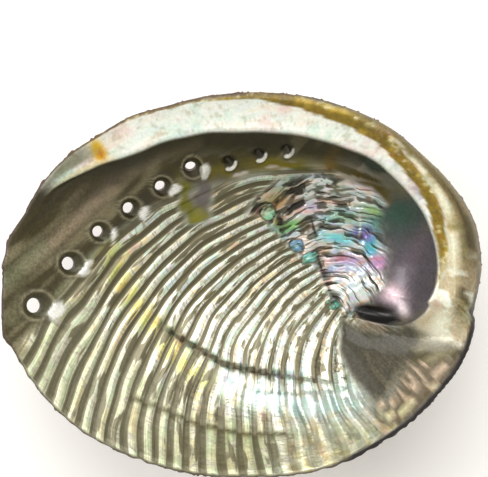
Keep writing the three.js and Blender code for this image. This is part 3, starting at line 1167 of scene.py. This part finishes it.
        # Faint ripples run over the wall above the muscle scar, bent like its upper edge; the pale ones are
        # painted highlights.
        ripple = self.streak(x * 0.22, y + ((x - 14) / 12) ** 2, 2.6, 2)
        rippled = np.clip(1.4 * self.rippled(x, y), 0, 1) * (1 - scar)
        wx, wy = x + 2.2 * relief.wander(x, y, 4.0, 3), y + 2.2 * relief.wander(y, x, 4.0, 3)
        stain = smooth(0.08, 0.7, sum(tone.where(wx, wy) for tone in self.stain))
        end = self.right_corner(x, y)
        rays = self.streak(label * 40, reach * 0.06, 1.0, 2)
        rested = np.clip(relief.rest_line(x, y) * 1.4, 0, 1) * smooth(34, 4, x) * smooth(-36, -26, x)
        dotted = 0.5 + 0.9 * self.speck(x, y, 1.8, 2)
        glint = smooth(0.2, 0.55, relief.glint(x, y))
        coats = [
            # The crests of the ribs are painted near white as highlight; the material darkens the grooves
            # between them as painted shade.
            ("#FBF8EE", ribs),
            ("#FDFBF4", relief.wide_crest_highlight(x, y) * ribs),
            # The margin is paler and greener, with cream in the east.
            ("#C2C49B", margin * (1 - 0.85 * east) * (0.8 + 0.3 * self.mottle(x, y, 26.0, 3))),
            ("#F6F2D6", margin * east),
            ("#E9EACB", margin * smooth(0.05, 0.45, self.speck(x, y, 2.6, 3)) * 0.6),
            ("#8E8A5A", smooth(0.0, 0.5, -patchy) * 0.42),
            ("#EFE2A6", smooth(0.1, 0.5, patchy) * 0.8),
            ("#F3DC74", late * 0.85),
            ("#EBFFFF", band * 1.25),
            # Beige folds lie between the fan and the edge; near the edge their crests get a painted cream
            # highlight.
            ("#6F6350", beige * 0.95),
            ("#D0B8A2", beige * folds * 0.9),
            ("#DEDDA6", beige * smooth(0.3, 0.05, age) * folds * 0.8),
            # The wall between the edge and the row of holes is olive brown, painted darker as shade, with
            # pale slanting streaks of painted sheen.
            ("#443C16", wall),
            ("#8F8668", wall * smooth(0.18, 0.6, slant) * 0.8),
            ("#332C10", wall * smooth(-0.05, -0.45, slant) * 0.7),
            *(tone.coat(x, y, wall) for tone in self.wall_streaks),
            ("#2B2517", rippled * smooth(0.0, -0.3, ripple) * 0.85),
            ("#625D42", stain),
            *(tone.coat(wx, wy, self.tone_strength) for tone in self.stain + self.wall_tones),
            ("#D3CAC6", rippled * smooth(0.08, 0.34, ripple) * 0.85),
            ("#5C553E", np.clip(end * 1.5, 0, 1) * 0.85),
            *self.scar_coats(x, y),
            # The fan by the spire has faint rays.
            ("#403C2B", fan),
            ("#5E5843", fan * smooth(0.0, 0.5, rays) * 0.7),
            # Two rest lines and two cracks.
            ("#3E3719", rested),
            ("#544721", relief.later_line(x, y) * 0.9 * (label < 6.2)),
            ("#35301F", relief.cracks[0](x, y) * 0.45),
            ("#35301F", relief.cracks[1](x, y) * np.clip(dotted, 0, 1)),
            *self.hole_coats(x, y),
            # A painted highlight low on the left.
            self.left_corner_highlight.coat(x, y, 1.0),
            # Painted highlight: white on the swelling below each open hole and on each closed hole's lip.
            ("#FFFFFB", glint),
        ]
        dull = 0.42 * wall + 0.3 * margin * (1 - east) + 0.4 * beige + 0.5 * end
        for value, there in ((0.1, scar * (1 - mauve)), (0.42, mauve), (1.0, fan), (0.35, glint)):
            dull = mix(dull, value, there)
        plain = (1 - glint) * (1 - stain)
        lined = ribs * (1 - 0.78 * band) * (1 - margin * (0.06 + 0.56 * east)) * plain
        play = ribs * (1 - 0.5 * margin) * plain * (1 - 0.4 * band)
        return coats, dull, play + 0.2 * beige + 0.8 * scar * (1 - mauve), lined

    def hole_coats(self, x: Array, y: Array) -> Coats:
        """The shaded mouth and pale collar of each open hole, and the closed pits.

        Args:
            x: plan position in mm.
            y: plan position in mm.

        Returns:
            Coats of colour.
        """
        coats = []
        for hole in self.form.holes:
            near = np.hypot(x - hole.at[0] - 0.17 * hole.bore, y - hole.at[1]) / hole.bore
            if hole.open:
                # Painted shade inside the open mouth, then a pale collar and a darker ring round it.
                coats += [
                    ("#4B4630", smooth(0.92, 0.8, near) * 0.85),
                    ("#A9A184", np.exp(-(((near - 0.92) / 0.08) ** 2)) * 0.75),
                    ("#39341F", np.exp(-(((near - 1.1) / 0.09) ** 2)) * 0.5),
                ]
            else:
                # Each closed pit is painted dark as shade.
                coats.append(("#2A2618", smooth(0.85, 0.55, near) * 0.8))
        return coats

    def scar_coats(self, x: Array, y: Array) -> Coats:
        """The muscle scar's crests and pads, and the smooth hollow beside it.

        Args:
            x: plan position in mm.
            y: plan position in mm.

        Returns:
            Coats of colour.
        """
        mauve = self.relief.hollow(x, y)
        ground = self.relief.scar(x, y) * (1 - mauve)
        hue = self.speck(x, y, 7.0, 2)
        spread = np.clip(ground + 0.3, 0, 1)
        coats = [
            ("#EFEAF4", ground),
            ("#A9C3C6", ground * smooth(0.0, 0.5, hue) * 0.7),
            ("#C9B394", ground * smooth(0.0, -0.5, hue) * 0.5),
            *(tone.coat(x, y, self.tone_strength * spread) for tone in self.scar_tones),
        ]
        for pad, pad_colour in zip(self.relief.pads, self.pad_colours):
            near = pad(*self.relief.gritty(x, y))
            coats += [
                ("#3E3F30", smooth(0.14, 0.24, near) * 0.85),
                (pad_colour, smooth(0.3, 0.4, near)),
                ("#DDF3F0", smooth(0.7, 0.95, near) * 0.5),
            ]
        return coats + [
            ("#F3F2EE", self.relief.pale_crack(x, y) * 0.8 * ground),
            ("#575059", mauve),
            *(tone.coat(x, y, mauve) for tone in self.hollow_tones),
            self.hollow_shine.coat(x, y, 1.0),
            # The pit at the spire is painted near black as shade.
            ("#14100F", smooth(0.3, 0.7, self.form.pit(x, y))),
        ]

    def shelf(self, x: Array, y: Array, where: Array) -> tuple[Coats, Array, Array]:
        """The shelf's top: white nacre, a gold band outside it, and olive growth strips.

        Args:
            x: plan position in mm.
            y: plan position in mm.
            where: zone number of each vertex.

        Returns:
            Coats of colour, how much of the shelf's top each vertex is, and its dullness.
        """
        form = self.form
        azimuth, radius = form.polar(x, y)
        inset, lift = form.shelf_inset(azimuth), form.shelf_lift(azimuth)
        across = (radius - (form.outline(azimuth) - inset)) / inset
        across = across + 0.05 * self.streak(azimuth * 0.5, across, 3.0, 3)
        top = np.where(azimuth < 200, smooth(0.1, 0.55, lift), smooth(0.72, 0.98, lift))
        top = top * smooth(0.3, 0.4, where)
        white_end, gold_end, pale_end = (
            end(azimuth) for end in (self.white_end, self.gold_end, self.pale_end)
        )
        tint = self.streak(azimuth * 1.2, across * 9, 7.0, 3)
        fine = self.speck(azimuth * 1.1, across * 22, 2.0, 3)
        cloud = self.speck(x, y, 5.0, 3)
        gold = top * smooth(-0.01, 0.03, across - white_end) * smooth(0.04, -0.02, across - gold_end)
        rich = smooth(-0.1, 0.5, cloud + 1.5 * (across - white_end) - 0.2)
        glints = smooth(0.1, 0.5, self.speck(x, y, 2.0, 3)) * smooth(-0.22, -0.04, across - gold_end)
        pale = top * smooth(-0.02, 0.1, across - gold_end)
        middle, half = 0.5 * (gold_end + pale_end), 0.05 + 0.4 * (pale_end - gold_end)
        crest = np.exp(-(((across - middle) / half) ** 2)) * pale
        bright = smooth(-0.6, 0.2, cloud) * (0.55 + 0.45 * smooth(-5, 25, y))
        shade = smooth(0.0, 0.45, self.speck(x + 9, y, 3.0, 3)) * self.shelf_shade(x, y)
        outer = top * smooth(-0.04, 0.1, across - pale_end)
        around = np.abs((azimuth + 180) % 360 - 180)
        strip = np.exp(-(((across - 0.76) / 0.06) ** 2)) * smooth(60, 20, around)
        strips = smooth(0.2, 0.9, np.sin((across - pale_end) * 42 + 1.2)) * smooth(30, 12, azimuth % 345)
        low = smooth(14, -4, y) * (x > 55) * pale
        side = np.clip(self.shelf_side(x, y) * 1.4, 0, 1)
        tip = top * smooth(145, 153, azimuth) * (azimuth < 200)
        coats = [
            # White nacre, faintly green and pink.
            ("#F8F9F3", top),
            ("#D9F0E6", top * smooth(0.05, 0.5, tint) * 0.7),
            ("#F0DADA", top * smooth(-0.1, -0.5, tint) * 0.6),
            ("#C4C0AC", top * smooth(0.18, 0.5, fine) * 0.6),
            # A paler crest runs outside the gold band, with a painted cream highlight along its middle.
            ("#B09C60", pale),
            ("#FBF6DF", crest * bright),
            ("#A79CAA", shade * top * (1 - pale) * 0.9),
            ("#8A7A4E", pale * smooth(-0.1, -0.6, cloud) * 0.4),
            # The gold band, with cream glints painted as highlights.
            ("#8A7010", gold),
            ("#B99C34", gold * rich * 0.8),
            ("#F1E6B8", gold * glints * 0.85),
            ("#54410C", gold * smooth(0.0, -0.5, tint) * 0.5),
            # Olive growth strips follow the very edge.
            ("#75653A", outer),
            ("#4A3C12", strip * top * 0.85),
            ("#B7A588", low * 0.75),
            self.shelf_blush.coat(x, y, pale),
            ("#F4F6EA", smooth(0.1, 0.5, self.speck(x + 3, y, 4.0, 3)) * low),
            ("#77703F", side * top * 0.8),
            ("#3A2E16", top * smooth(0.93, 1.0, across) * smooth(120, 100, azimuth)),
            ("#463A14", outer * strips * 0.85),
            # One orange spot lies near the shelf's left end.
            *(tone.coat(x, y, top) for tone in self.orange_spot),
            ("#7F7C5C", tip * smooth(0.3, 0.55, across) * 0.85),
            ("#FBF3C6", tip * smooth(0.32, 0.12, across) * 0.8),
            self.shelf_foot.coat(x, y, 1.0),
        ]
        return coats, top, 0.22 + 0.2 * outer + 0.1 * pale + 0.2 * tip + 0.25 * gold

    def nacre(self, x: Array, y: Array, where: Array) -> tuple[Array, ...]:
        """Colour and masks of the inside and the edge.

        Args:
            x: plan position in mm.
            y: plan position in mm.
            where: zone number of each vertex.

        Returns:
            Linear colours, then masks: dullness, play of colour and how far it is lined by ribs.
        """
        coats, dull, play, lined = self.bowl(x, y)
        shelf, top, top_dull = self.shelf(x, y, where)
        azimuth, radius = self.form.polar(x, y)
        lift, inset = self.form.shelf_lift(azimuth), self.form.shelf_inset(azimuth)
        near = self.form.outline(azimuth) - radius
        east = smooth(80, 50, np.abs((azimuth + 180) % 360 - 180 - 30))
        rim = smooth(0.78, 0.9, where) * (1 - east) + smooth(0.93, 1.0, where) * east
        # Painted shade darkens the wall just under the shelf.
        under = smooth(6.0, 0.5, near - inset) * smooth(0.3, 0.8, lift) * (where < BACK_FROM)
        under = under * (azimuth < 170) * (azimuth > 50) * (1 - top)
        lower = smooth(40, 26, np.abs(azimuth - 318)) * smooth(2.6, 1.5, near) * (where < BACK_FROM)
        # The outer layer shows as a thin dark line round the very edge; the wall under the shelf gets
        # painted shade.
        coats += shelf + [("#3F2A1E", rim * 0.9), ("#26220F", under * 0.6), ("#150B07", lower)]
        dull = np.clip(mix(dull, top_dull, top) + 0.7 * rim + 0.9 * lower, 0, 1)
        bare = (1 - rim) * (1 - lower)
        return painted(self.nacre_ground, coats), dull, mix(play, 0.3, top) * bare, lined * (1 - top) * bare

    def skin(self, x: Array, y: Array, z: Array) -> tuple[Array, Array]:
        """Colour and dullness of the outer layer.

        Args:
            x: plan position in mm.
            y: plan position in mm.
            z: height in mm.

        Returns:
            Linear colours, and dullness from 0 to 1.
        """
        label, _, age = self.spiral.course(x, y)
        wave = self.relief.back_wave(x, y)
        broad = self.mottle(x + 500, y, 22.0, 4)
        bands = self.streak(age * 55, label * 2, 5.0, 3)
        worn = smooth(9, 1, z) + 0.8 * Patch(self.form.spire, (12, 12))(x, y)
        colour = painted(self.skin_ground, [
            ("#8C5B42", smooth(-0.2, 0.6, broad)),
            ("#85805A", smooth(0.1, 0.35, bands) * 0.85),
            ("#C2B48E", smooth(0.42, 0.6, bands) * 0.8),
            ("#4A2A24", smooth(-0.15, -0.5, bands) * 0.7),
            # The outer ribs get painted shade in their grooves and a painted highlight on their crests.
            ("#452C24", smooth(0.5, 0.0, wave) * 0.65),
            ("#B08A6C", smooth(0.75, 1.0, wave) * 0.35),
            ("#B5AB9A", worn * smooth(-0.25, 0.45, broad) * 0.8),
            ("#CFC8BA", smooth(0.45, 0.56, self.speck(x, y, 3.6, 4)) * 0.75),
        ])  # fmt: skip
        return colour, np.clip(0.6 + 0.3 * broad, 0, 1)

    def apply(self, shell: bpy.types.Object, zones: Array) -> None:
        """Writes the colours and patterns onto the shell's mesh.

        Args:
            shell: the finished mesh object.
            zones: zone number of each vertex.
        """
        mesh, relief = shell.data, self.relief
        co = np.zeros(len(mesh.vertices) * 3)
        mesh.vertices.foreach_get("co", co)
        x, y, z = (co.reshape(-1, 3) / MM).T
        inside, inside_dull, play, lined = self.nacre(x, y, zones)
        skin, skin_dull = self.skin(x, y, z)
        outer = zones > Zone.EDGE.value - NEARLY
        tint = np.where(outer[:, None], skin, inside)
        _, reach, age = self.spiral.course(x, y)
        growth = (age * self.lines_per_radian, relief.rib_phase(x, y), reach)
        scar = relief.scar(x, y) * (1 - relief.hollow(x, y)) * (zones < 0.4)
        # The scar's painted highlight and shade follow this: the calm patch lifts it toward white, the
        # scar's top is darkened as painted shade.
        ridge = relief.creases(x, y) + 0.62 * relief.calm(x, y)
        ridge -= 0.3 * self.scar_shade(x, y)
        for pad in relief.pads:
            ridge += smooth(0.25, 0.4, pad(x, y))
        # How far the crests' painted highlight widens, in patches.
        wide_crest_highlight = relief.wide_crest_highlight(x, y) * np.clip(2.2 + 2.5 * self.mottle(x, y, 9.0, 2), 0.4, 4.0)
        layers = (
            ("tint", "FLOAT_COLOR", "color", np.column_stack((tint, np.ones(len(x))))),
            ("dull", "FLOAT", "value", np.where(outer, skin_dull, inside_dull)),
            ("play", "FLOAT", "value", np.clip(play, 0, 1)),
            ("lined", "FLOAT", "value", np.clip(lined, 0, 1)),
            ("scar", "FLOAT", "value", scar * (1 - smooth(0.3, 0.6, self.form.pit(x, y)))),
            ("fold", "FLOAT_VECTOR", "vector", np.column_stack((*relief.fold(x, y), ridge))),
            ("wide_crest_highlight", "FLOAT", "value", wide_crest_highlight),
            ("growth", "FLOAT_VECTOR", "vector", np.column_stack(growth)),
        )
        for name, kind, field_name, values in layers:
            layer = mesh.attributes.new(name, kind, "POINT")
            layer.data.foreach_set(field_name, values.astype(np.float32).ravel())


def skin_noise(tree: Tree, along: str, scale: tuple[float, float, float], detail: float) -> Socket:
    """A noise that follows the growth of the shell, or the folds of its scar.

    Args:
        tree: the node tree.
        along: the vertex attribute it follows, "growth" or "fold".
        scale: cells per unit of that attribute.
        detail: the noise's detail.

    Returns:
        The noise.
    """
    course = add_node(tree, "Attribute", {"attribute_name": along})
    place = add_node(tree, "Mapping", {"Scale": scale}, {"Vector": course.outputs["Vector"]})
    settings = {"Scale": 1.0, "Detail": detail, "Roughness": 0.55}
    return add_node(tree, "TexNoise", settings, {"Vector": place.outputs["Vector"]}).outputs["Fac"]


def limy_grit(tree: Tree, size_mm: float, detail: float, roughness: float) -> Socket:
    """The fine limy grain of the shell's matte parts.

    Args:
        tree: the node tree.
        size_mm: size of a grain.
        detail: the noise's detail.
        roughness: how strong the finer sizes are.

    Returns:
        The grain as a noise.
    """
    place = add_node(tree, "TexCoord").outputs["Object"]
    settings = {"Scale": 1 / (size_mm * MM), "Detail": detail, "Roughness": roughness}
    return add_node(tree, "TexNoise", settings, {"Vector": place}).outputs["Fac"]


def rib_shape(tree: Tree) -> Socket:
    """The ribs across the shell.

    Args:
        tree: the node tree.

    Returns:
        1 on a rib's crest and 0 in the groove beside it.
    """
    growth = add_node(tree, "Attribute", {"attribute_name": "growth"}).outputs["Vector"]
    phase = add_node(tree, "SeparateXYZ", {}, {"Vector": growth}).outputs["Y"]
    turn = add_node(tree, "Math", {"operation": "MULTIPLY"}, {"Value": phase})
    turn.inputs[1].default_value = 2 * math.pi
    wave = add_node(tree, "Math", {"operation": "COSINE"}, {"Value": turn.outputs["Value"]})
    ends = {"From Min": -1.0, "From Max": 1.0}
    return add_node(tree, "MapRange", ends, {"Value": wave.outputs["Value"]}).outputs["Result"]


def tinted(
    tree: Tree, below: Socket, noise: Socket, stops: Stops, amount: Socket | float, blend: str
) -> Socket:
    """Lays a ramp over a noise on a colour.

    Args:
        tree: the node tree.
        below: the colour so far.
        noise: drives the ramp.
        stops: the ramp's positions and sRGB hex colours.
        amount: how strongly it shows, as a number or a socket.
        blend: how it is laid on; "DARKEN" keeps whichever is darker.

    Returns:
        The new colour.
    """
    shades = add_node(tree, "ValToRGB", {}, {"Fac": noise})
    ramp = shades.color_ramp
    while len(ramp.elements) < len(stops):
        ramp.elements.new(1.0)
    for element, (position, colour) in zip(ramp.elements, stops):
        element.position = position
        element.color = linear(colour)
    fixed = isinstance(amount, float)
    settings = {"data_type": "RGBA", "blend_type": blend} | ({"Factor": amount} if fixed else {})
    links = {6: below, 7: shades.outputs["Color"]} | ({} if fixed else {"Factor": amount})
    return add_node(tree, "Mix", settings, links).outputs[2]


def new_material(name: str) -> tuple[bpy.types.Material, Tree]:
    """Starts a material.

    Args:
        name: its name.

    Returns:
        The empty material and its node tree.
    """
    made = bpy.data.materials.new(name)
    made.use_nodes = True
    made.node_tree.nodes.clear()
    return made, made.node_tree


@dataclass(frozen=True)
class Nacre:
    """Mother of pearl, polished by the animal: a bright, slightly rough mirror with soft colours."""

    metallic: tuple[float, float] = (0.6, 0.1)
    roughness: tuple[float, float] = (0.16, 0.7)
    ior: float = 1.5
    coat: float = 0.25
    coat_roughness: float = 0.12
    grain_mm: float = 1.1

    def material(self) -> bpy.types.Material:
        """Builds the material.

        Returns:
            The nacre.
        """
        made, tree = new_material("abalone nacre")
        names = ("tint", "dull", "play", "lined", "scar", "wide_crest_highlight")
        read = {name: add_node(tree, "Attribute", {"attribute_name": name}) for name in names}
        dull, play, lined, scar, wide_crest_highlight = (read[name].outputs["Fac"] for name in names[1:])
        ribs = rib_shape(tree)
        # Where the crests are wide, their painted highlight widens and the grooves narrow.
        widen = {0: wide_crest_highlight, 1: ribs, 2: ribs}
        wide = add_node(tree, "Math", {"operation": "MULTIPLY_ADD"}, widen).outputs["Value"]
        fold = add_node(tree, "Attribute", {"attribute_name": "fold"}).outputs["Vector"]
        ridge = add_node(tree, "SeparateXYZ", {}, {"Vector": fold}).outputs["Z"]
        shift = skin_noise(tree, "growth", (0.42, 0.9, 0), 2.0)
        threads = skin_noise(tree, "growth", (0.3, 5.5, 0), 3.0)
        lengths = skin_noise(tree, "growth", (0.42, 1.5, 0), 2.5)
        breaks = skin_noise(tree, "growth", (1.3, 0.22, 0), 3.0)
        wrinkles = skin_noise(tree, "fold", (2.0, 0.7, 0), 2.0)
        grit = limy_grit(tree, self.grain_mm, 4.0, 0.6)
        white = "#FFFFFF"
        layers = (
            # Play of colour: each rib shifts from pink through cream and mint to aqua and lilac.
            (shift, [(0.3, "#FBC8C2"), (0.38, "#FBEBBE"), (0.46, white), (0.54, "#DDF6DE"),
                     (0.62, "#D2F0F6"), (0.7, "#E8DAF5")], play, "MULTIPLY"),
            # Fine threads run along the ribs.
            (threads, [(0.34, "#D2CDBE"), (0.5, white)], lined, "MULTIPLY"),
            # The grooves between the ribs are painted dark olive as shade, with a crisp edge.
            (wide, [(0.1, "#5A543B"), (0.42, "#736D55"), (0.52, "#ABA68B"), (0.62, white)],
             lined, "DARKEN"),
            # Growth lines cross the ribs and break the crests' painted highlight into short lengths.
            (lengths, [(0.41, "#777158"), (0.44, "#B4AF96"), (0.47, white)], lined, "DARKEN"),
            (breaks, [(0.42, white), (0.46, "#A6A089"), (0.48, white), (0.58, "#A6A089"),
                      (0.61, white)], lined, "DARKEN"),
            # The scar's valleys are painted dark as shade between crests painted bright as highlight, with
            # fine wrinkles along them.
            (ridge, [(0.1, "#3C392C"), (0.46, "#9A9688"), (0.64, white)], scar, "MULTIPLY"),
            (wrinkles, [(0.38, "#6C685C"), (0.46, white)], scar, "MULTIPLY"),
            # Matte parts have a fine limy grain.
            (grit, [(0.4, "#C2BEAC"), (0.58, white)], dull, "MULTIPLY"),
        )  # fmt: skip
        colour = read["tint"].outputs["Color"]
        for noise, stops, amount, blend in layers:
            colour = tinted(tree, colour, noise, stops, amount, blend)
        rough, metal = (
            add_node(tree, "MapRange", {"To Min": low, "To Max": high}, {"Value": dull})
            for low, high in (self.roughness, self.metallic)
        )
        bump = add_node(tree, "Bump", {"Strength": 0.25, "Distance": 0.3 * MM}, {"Height": grit})
        for height, deep_mm, amount in (
            (threads, 0.3, lined),
            (breaks, 0.3, lined),
            (ribs, 0.2, lined),
            (wrinkles, 0.4, scar),
        ):
            links = {"Height": height, "Normal": bump.outputs["Normal"], "Strength": amount}
            bump = add_node(tree, "Bump", {"Distance": deep_mm * MM}, links)
        shine = {"IOR": self.ior, "Coat Weight": self.coat, "Coat Roughness": self.coat_roughness}
        links = {
            "Base Color": colour,
            "Metallic": metal.outputs["Result"],
            "Roughness": rough.outputs["Result"],
            "Normal": bump.outputs["Normal"],
        }
        shader = add_node(tree, "BsdfPrincipled", shine, links)
        add_node(tree, "OutputMaterial", {}, {"Surface": shader.outputs["BSDF"]})
        return made


@dataclass(frozen=True)
class OuterLayer:
    """Rough limy outer layer: matte reddish brown with olive growth bands, pale worn patches, and rib
    crests painted paler as highlight.
    """

    roughness: tuple[float, float] = (0.45, 0.8)
    ior: float = 1.55
    grit_mm: float = 0.9

    def material(self) -> bpy.types.Material:
        """Builds the material.

        Returns:
            The outer layer.
        """
        made, tree = new_material("abalone outer layer")
        tint = add_node(tree, "Attribute", {"attribute_name": "tint"}).outputs["Color"]
        dull = add_node(tree, "Attribute", {"attribute_name": "dull"}).outputs["Fac"]
        grit = limy_grit(tree, self.grit_mm, 6.0, 0.65)
        low, high = self.roughness
        rough = add_node(tree, "MapRange", {"To Min": low, "To Max": high}, {"Value": dull})
        bump = add_node(tree, "Bump", {"Strength": 0.5, "Distance": 0.5 * MM}, {"Height": grit})
        links = {
            "Base Color": tinted(tree, tint, grit, [(0.35, "#8C8C8C"), (0.65, "#FFFFFF")], 0.6, "MULTIPLY"),
            "Roughness": rough.outputs["Result"],
            "Normal": bump.outputs["Normal"],
        }
        shader = add_node(tree, "BsdfPrincipled", {"IOR": self.ior}, links)
        add_node(tree, "OutputMaterial", {}, {"Surface": shader.outputs["BSDF"]})
        return made


# ---- studio ----------------------------------------------------------------------------------


@dataclass
class Studio:
    """Pale floor, soft lights and the camera."""

    frame_mm: float = 165.4
    centre_mm: tuple[float, float, float] = (-0.1, 15.6, 41.0)
    lens: float = 110.0
    elevation: float = 88.0

    def floor(self) -> None:
        """Lays the pale floor."""
        bm = bmesh.new()
        bmesh.ops.create_grid(bm, x_segments=1, y_segments=1, size=3.0)
        mesh = bpy.data.meshes.new("floor")
        bm.to_mesh(mesh)
        bm.free()
        floor = bpy.data.objects.new("floor", mesh)
        bpy.context.scene.collection.objects.link(floor)
        made = bpy.data.materials.new("pale paper floor")
        made.use_nodes = True
        shader = made.node_tree.nodes["Principled BSDF"]
        shader.inputs["Base Color"].default_value = linear("#FBFBFA")
        shader.inputs["Roughness"].default_value = 0.9
        mesh.materials.append(made)

    def light(
        self, name: str, at: tuple[float, float, float], size: tuple[float, float], watts: float
    ) -> None:
        """Adds a softbox that looks at the shell.

        Args:
            name: the light's name.
            at: where it hangs, in metres.
            size: its width and height, in metres.
            watts: its power.
        """
        data = bpy.data.lights.new(name, "AREA")
        data.shape = "RECTANGLE"
        data.size, data.size_y = size
        data.energy = watts
        lamp = bpy.data.objects.new(name, data)
        bpy.context.scene.collection.objects.link(lamp)
        lamp.location = at
        aim = Vector((0, 0, 0.02)) - Vector(at)
        lamp.rotation_mode = "QUATERNION"
        lamp.rotation_quaternion = aim.to_track_quat("-Z", "Y")

    def build(self) -> None:
        """Makes the floor, the lights, the surroundings and the camera."""
        self.floor()
        self.light("north softbox", (-0.05, 1.0, 0.74), (1.4, 1.2), 14.0)
        self.light("west softbox", (-0.95, 0.2, 0.6), (0.5, 0.4), 4.0)
        world = bpy.data.worlds.new("studio")
        world.use_nodes = True
        world.node_tree.nodes["Background"].inputs["Color"].default_value = linear("#EEEBE4")
        world.node_tree.nodes["Background"].inputs["Strength"].default_value = 1.0
        scene = bpy.context.scene
        scene.world = world
        scene.view_settings.view_transform = "Standard"
        data = bpy.data.cameras.new("camera")
        data.lens = self.lens
        data.sensor_width = 36.0
        camera = bpy.data.objects.new("camera", data)
        scene.collection.objects.link(camera)
        scene.camera = camera
        away = self.frame_mm * MM * self.lens / data.sensor_width
        tilt = math.radians(self.elevation)
        back = Vector((0, -math.cos(tilt), math.sin(tilt)))
        camera.location = Vector(self.centre_mm) * MM + back * away
        camera.rotation_mode = "QUATERNION"
        camera.rotation_quaternion = (-back).to_track_quat("-Z", "Y")
        data.clip_start = 0.01
        data.clip_end = 20.0


def dress(shell: bpy.types.Object, zones: Array) -> None:
    """Gives each face its layer: nacre inside, outer layer on the back and past the edge.

    Args:
        shell: the finished mesh object.
        zones: zone number of each vertex.
    """
    mesh = shell.data
    mesh.materials.append(Nacre().material())
    mesh.materials.append(OuterLayer().material())
    counts = np.array([len(p.vertices) for p in mesh.polygons])
    corners = np.zeros(len(mesh.loops), np.int32)
    mesh.loops.foreach_get("vertex_index", corners)
    starts = np.concatenate([[0], np.cumsum(counts)[:-1]])
    highest = np.maximum.reduceat(zones[corners], starts)
    mesh.polygons.foreach_set("material_index", (highest > BACK_FROM).astype(np.int32))
    mesh.update()


def main() -> None:
    """Builds the shell and its studio."""
    logging.basicConfig(level=logging.INFO, format="%(message)s")
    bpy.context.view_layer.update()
    form, spiral = Form(), Spiral()
    relief = Relief(form, spiral)
    shell = Shell(form, relief).build()
    zones = np.zeros(len(shell.data.vertices), np.float32)
    shell.data.attributes["zone"].data.foreach_get("value", zones)
    Paint(form, spiral, relief).apply(shell, zones)
    dress(shell, zones)
    LOG.info("shell: %d vertices, %d faces", len(shell.data.vertices), len(shell.data.polygons))
    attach(shell, "root")
    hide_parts("abalone_shell")
    Studio().build()
    LOG.info("studio: floor, lights and camera")


if __name__ == "__main__":
    main()
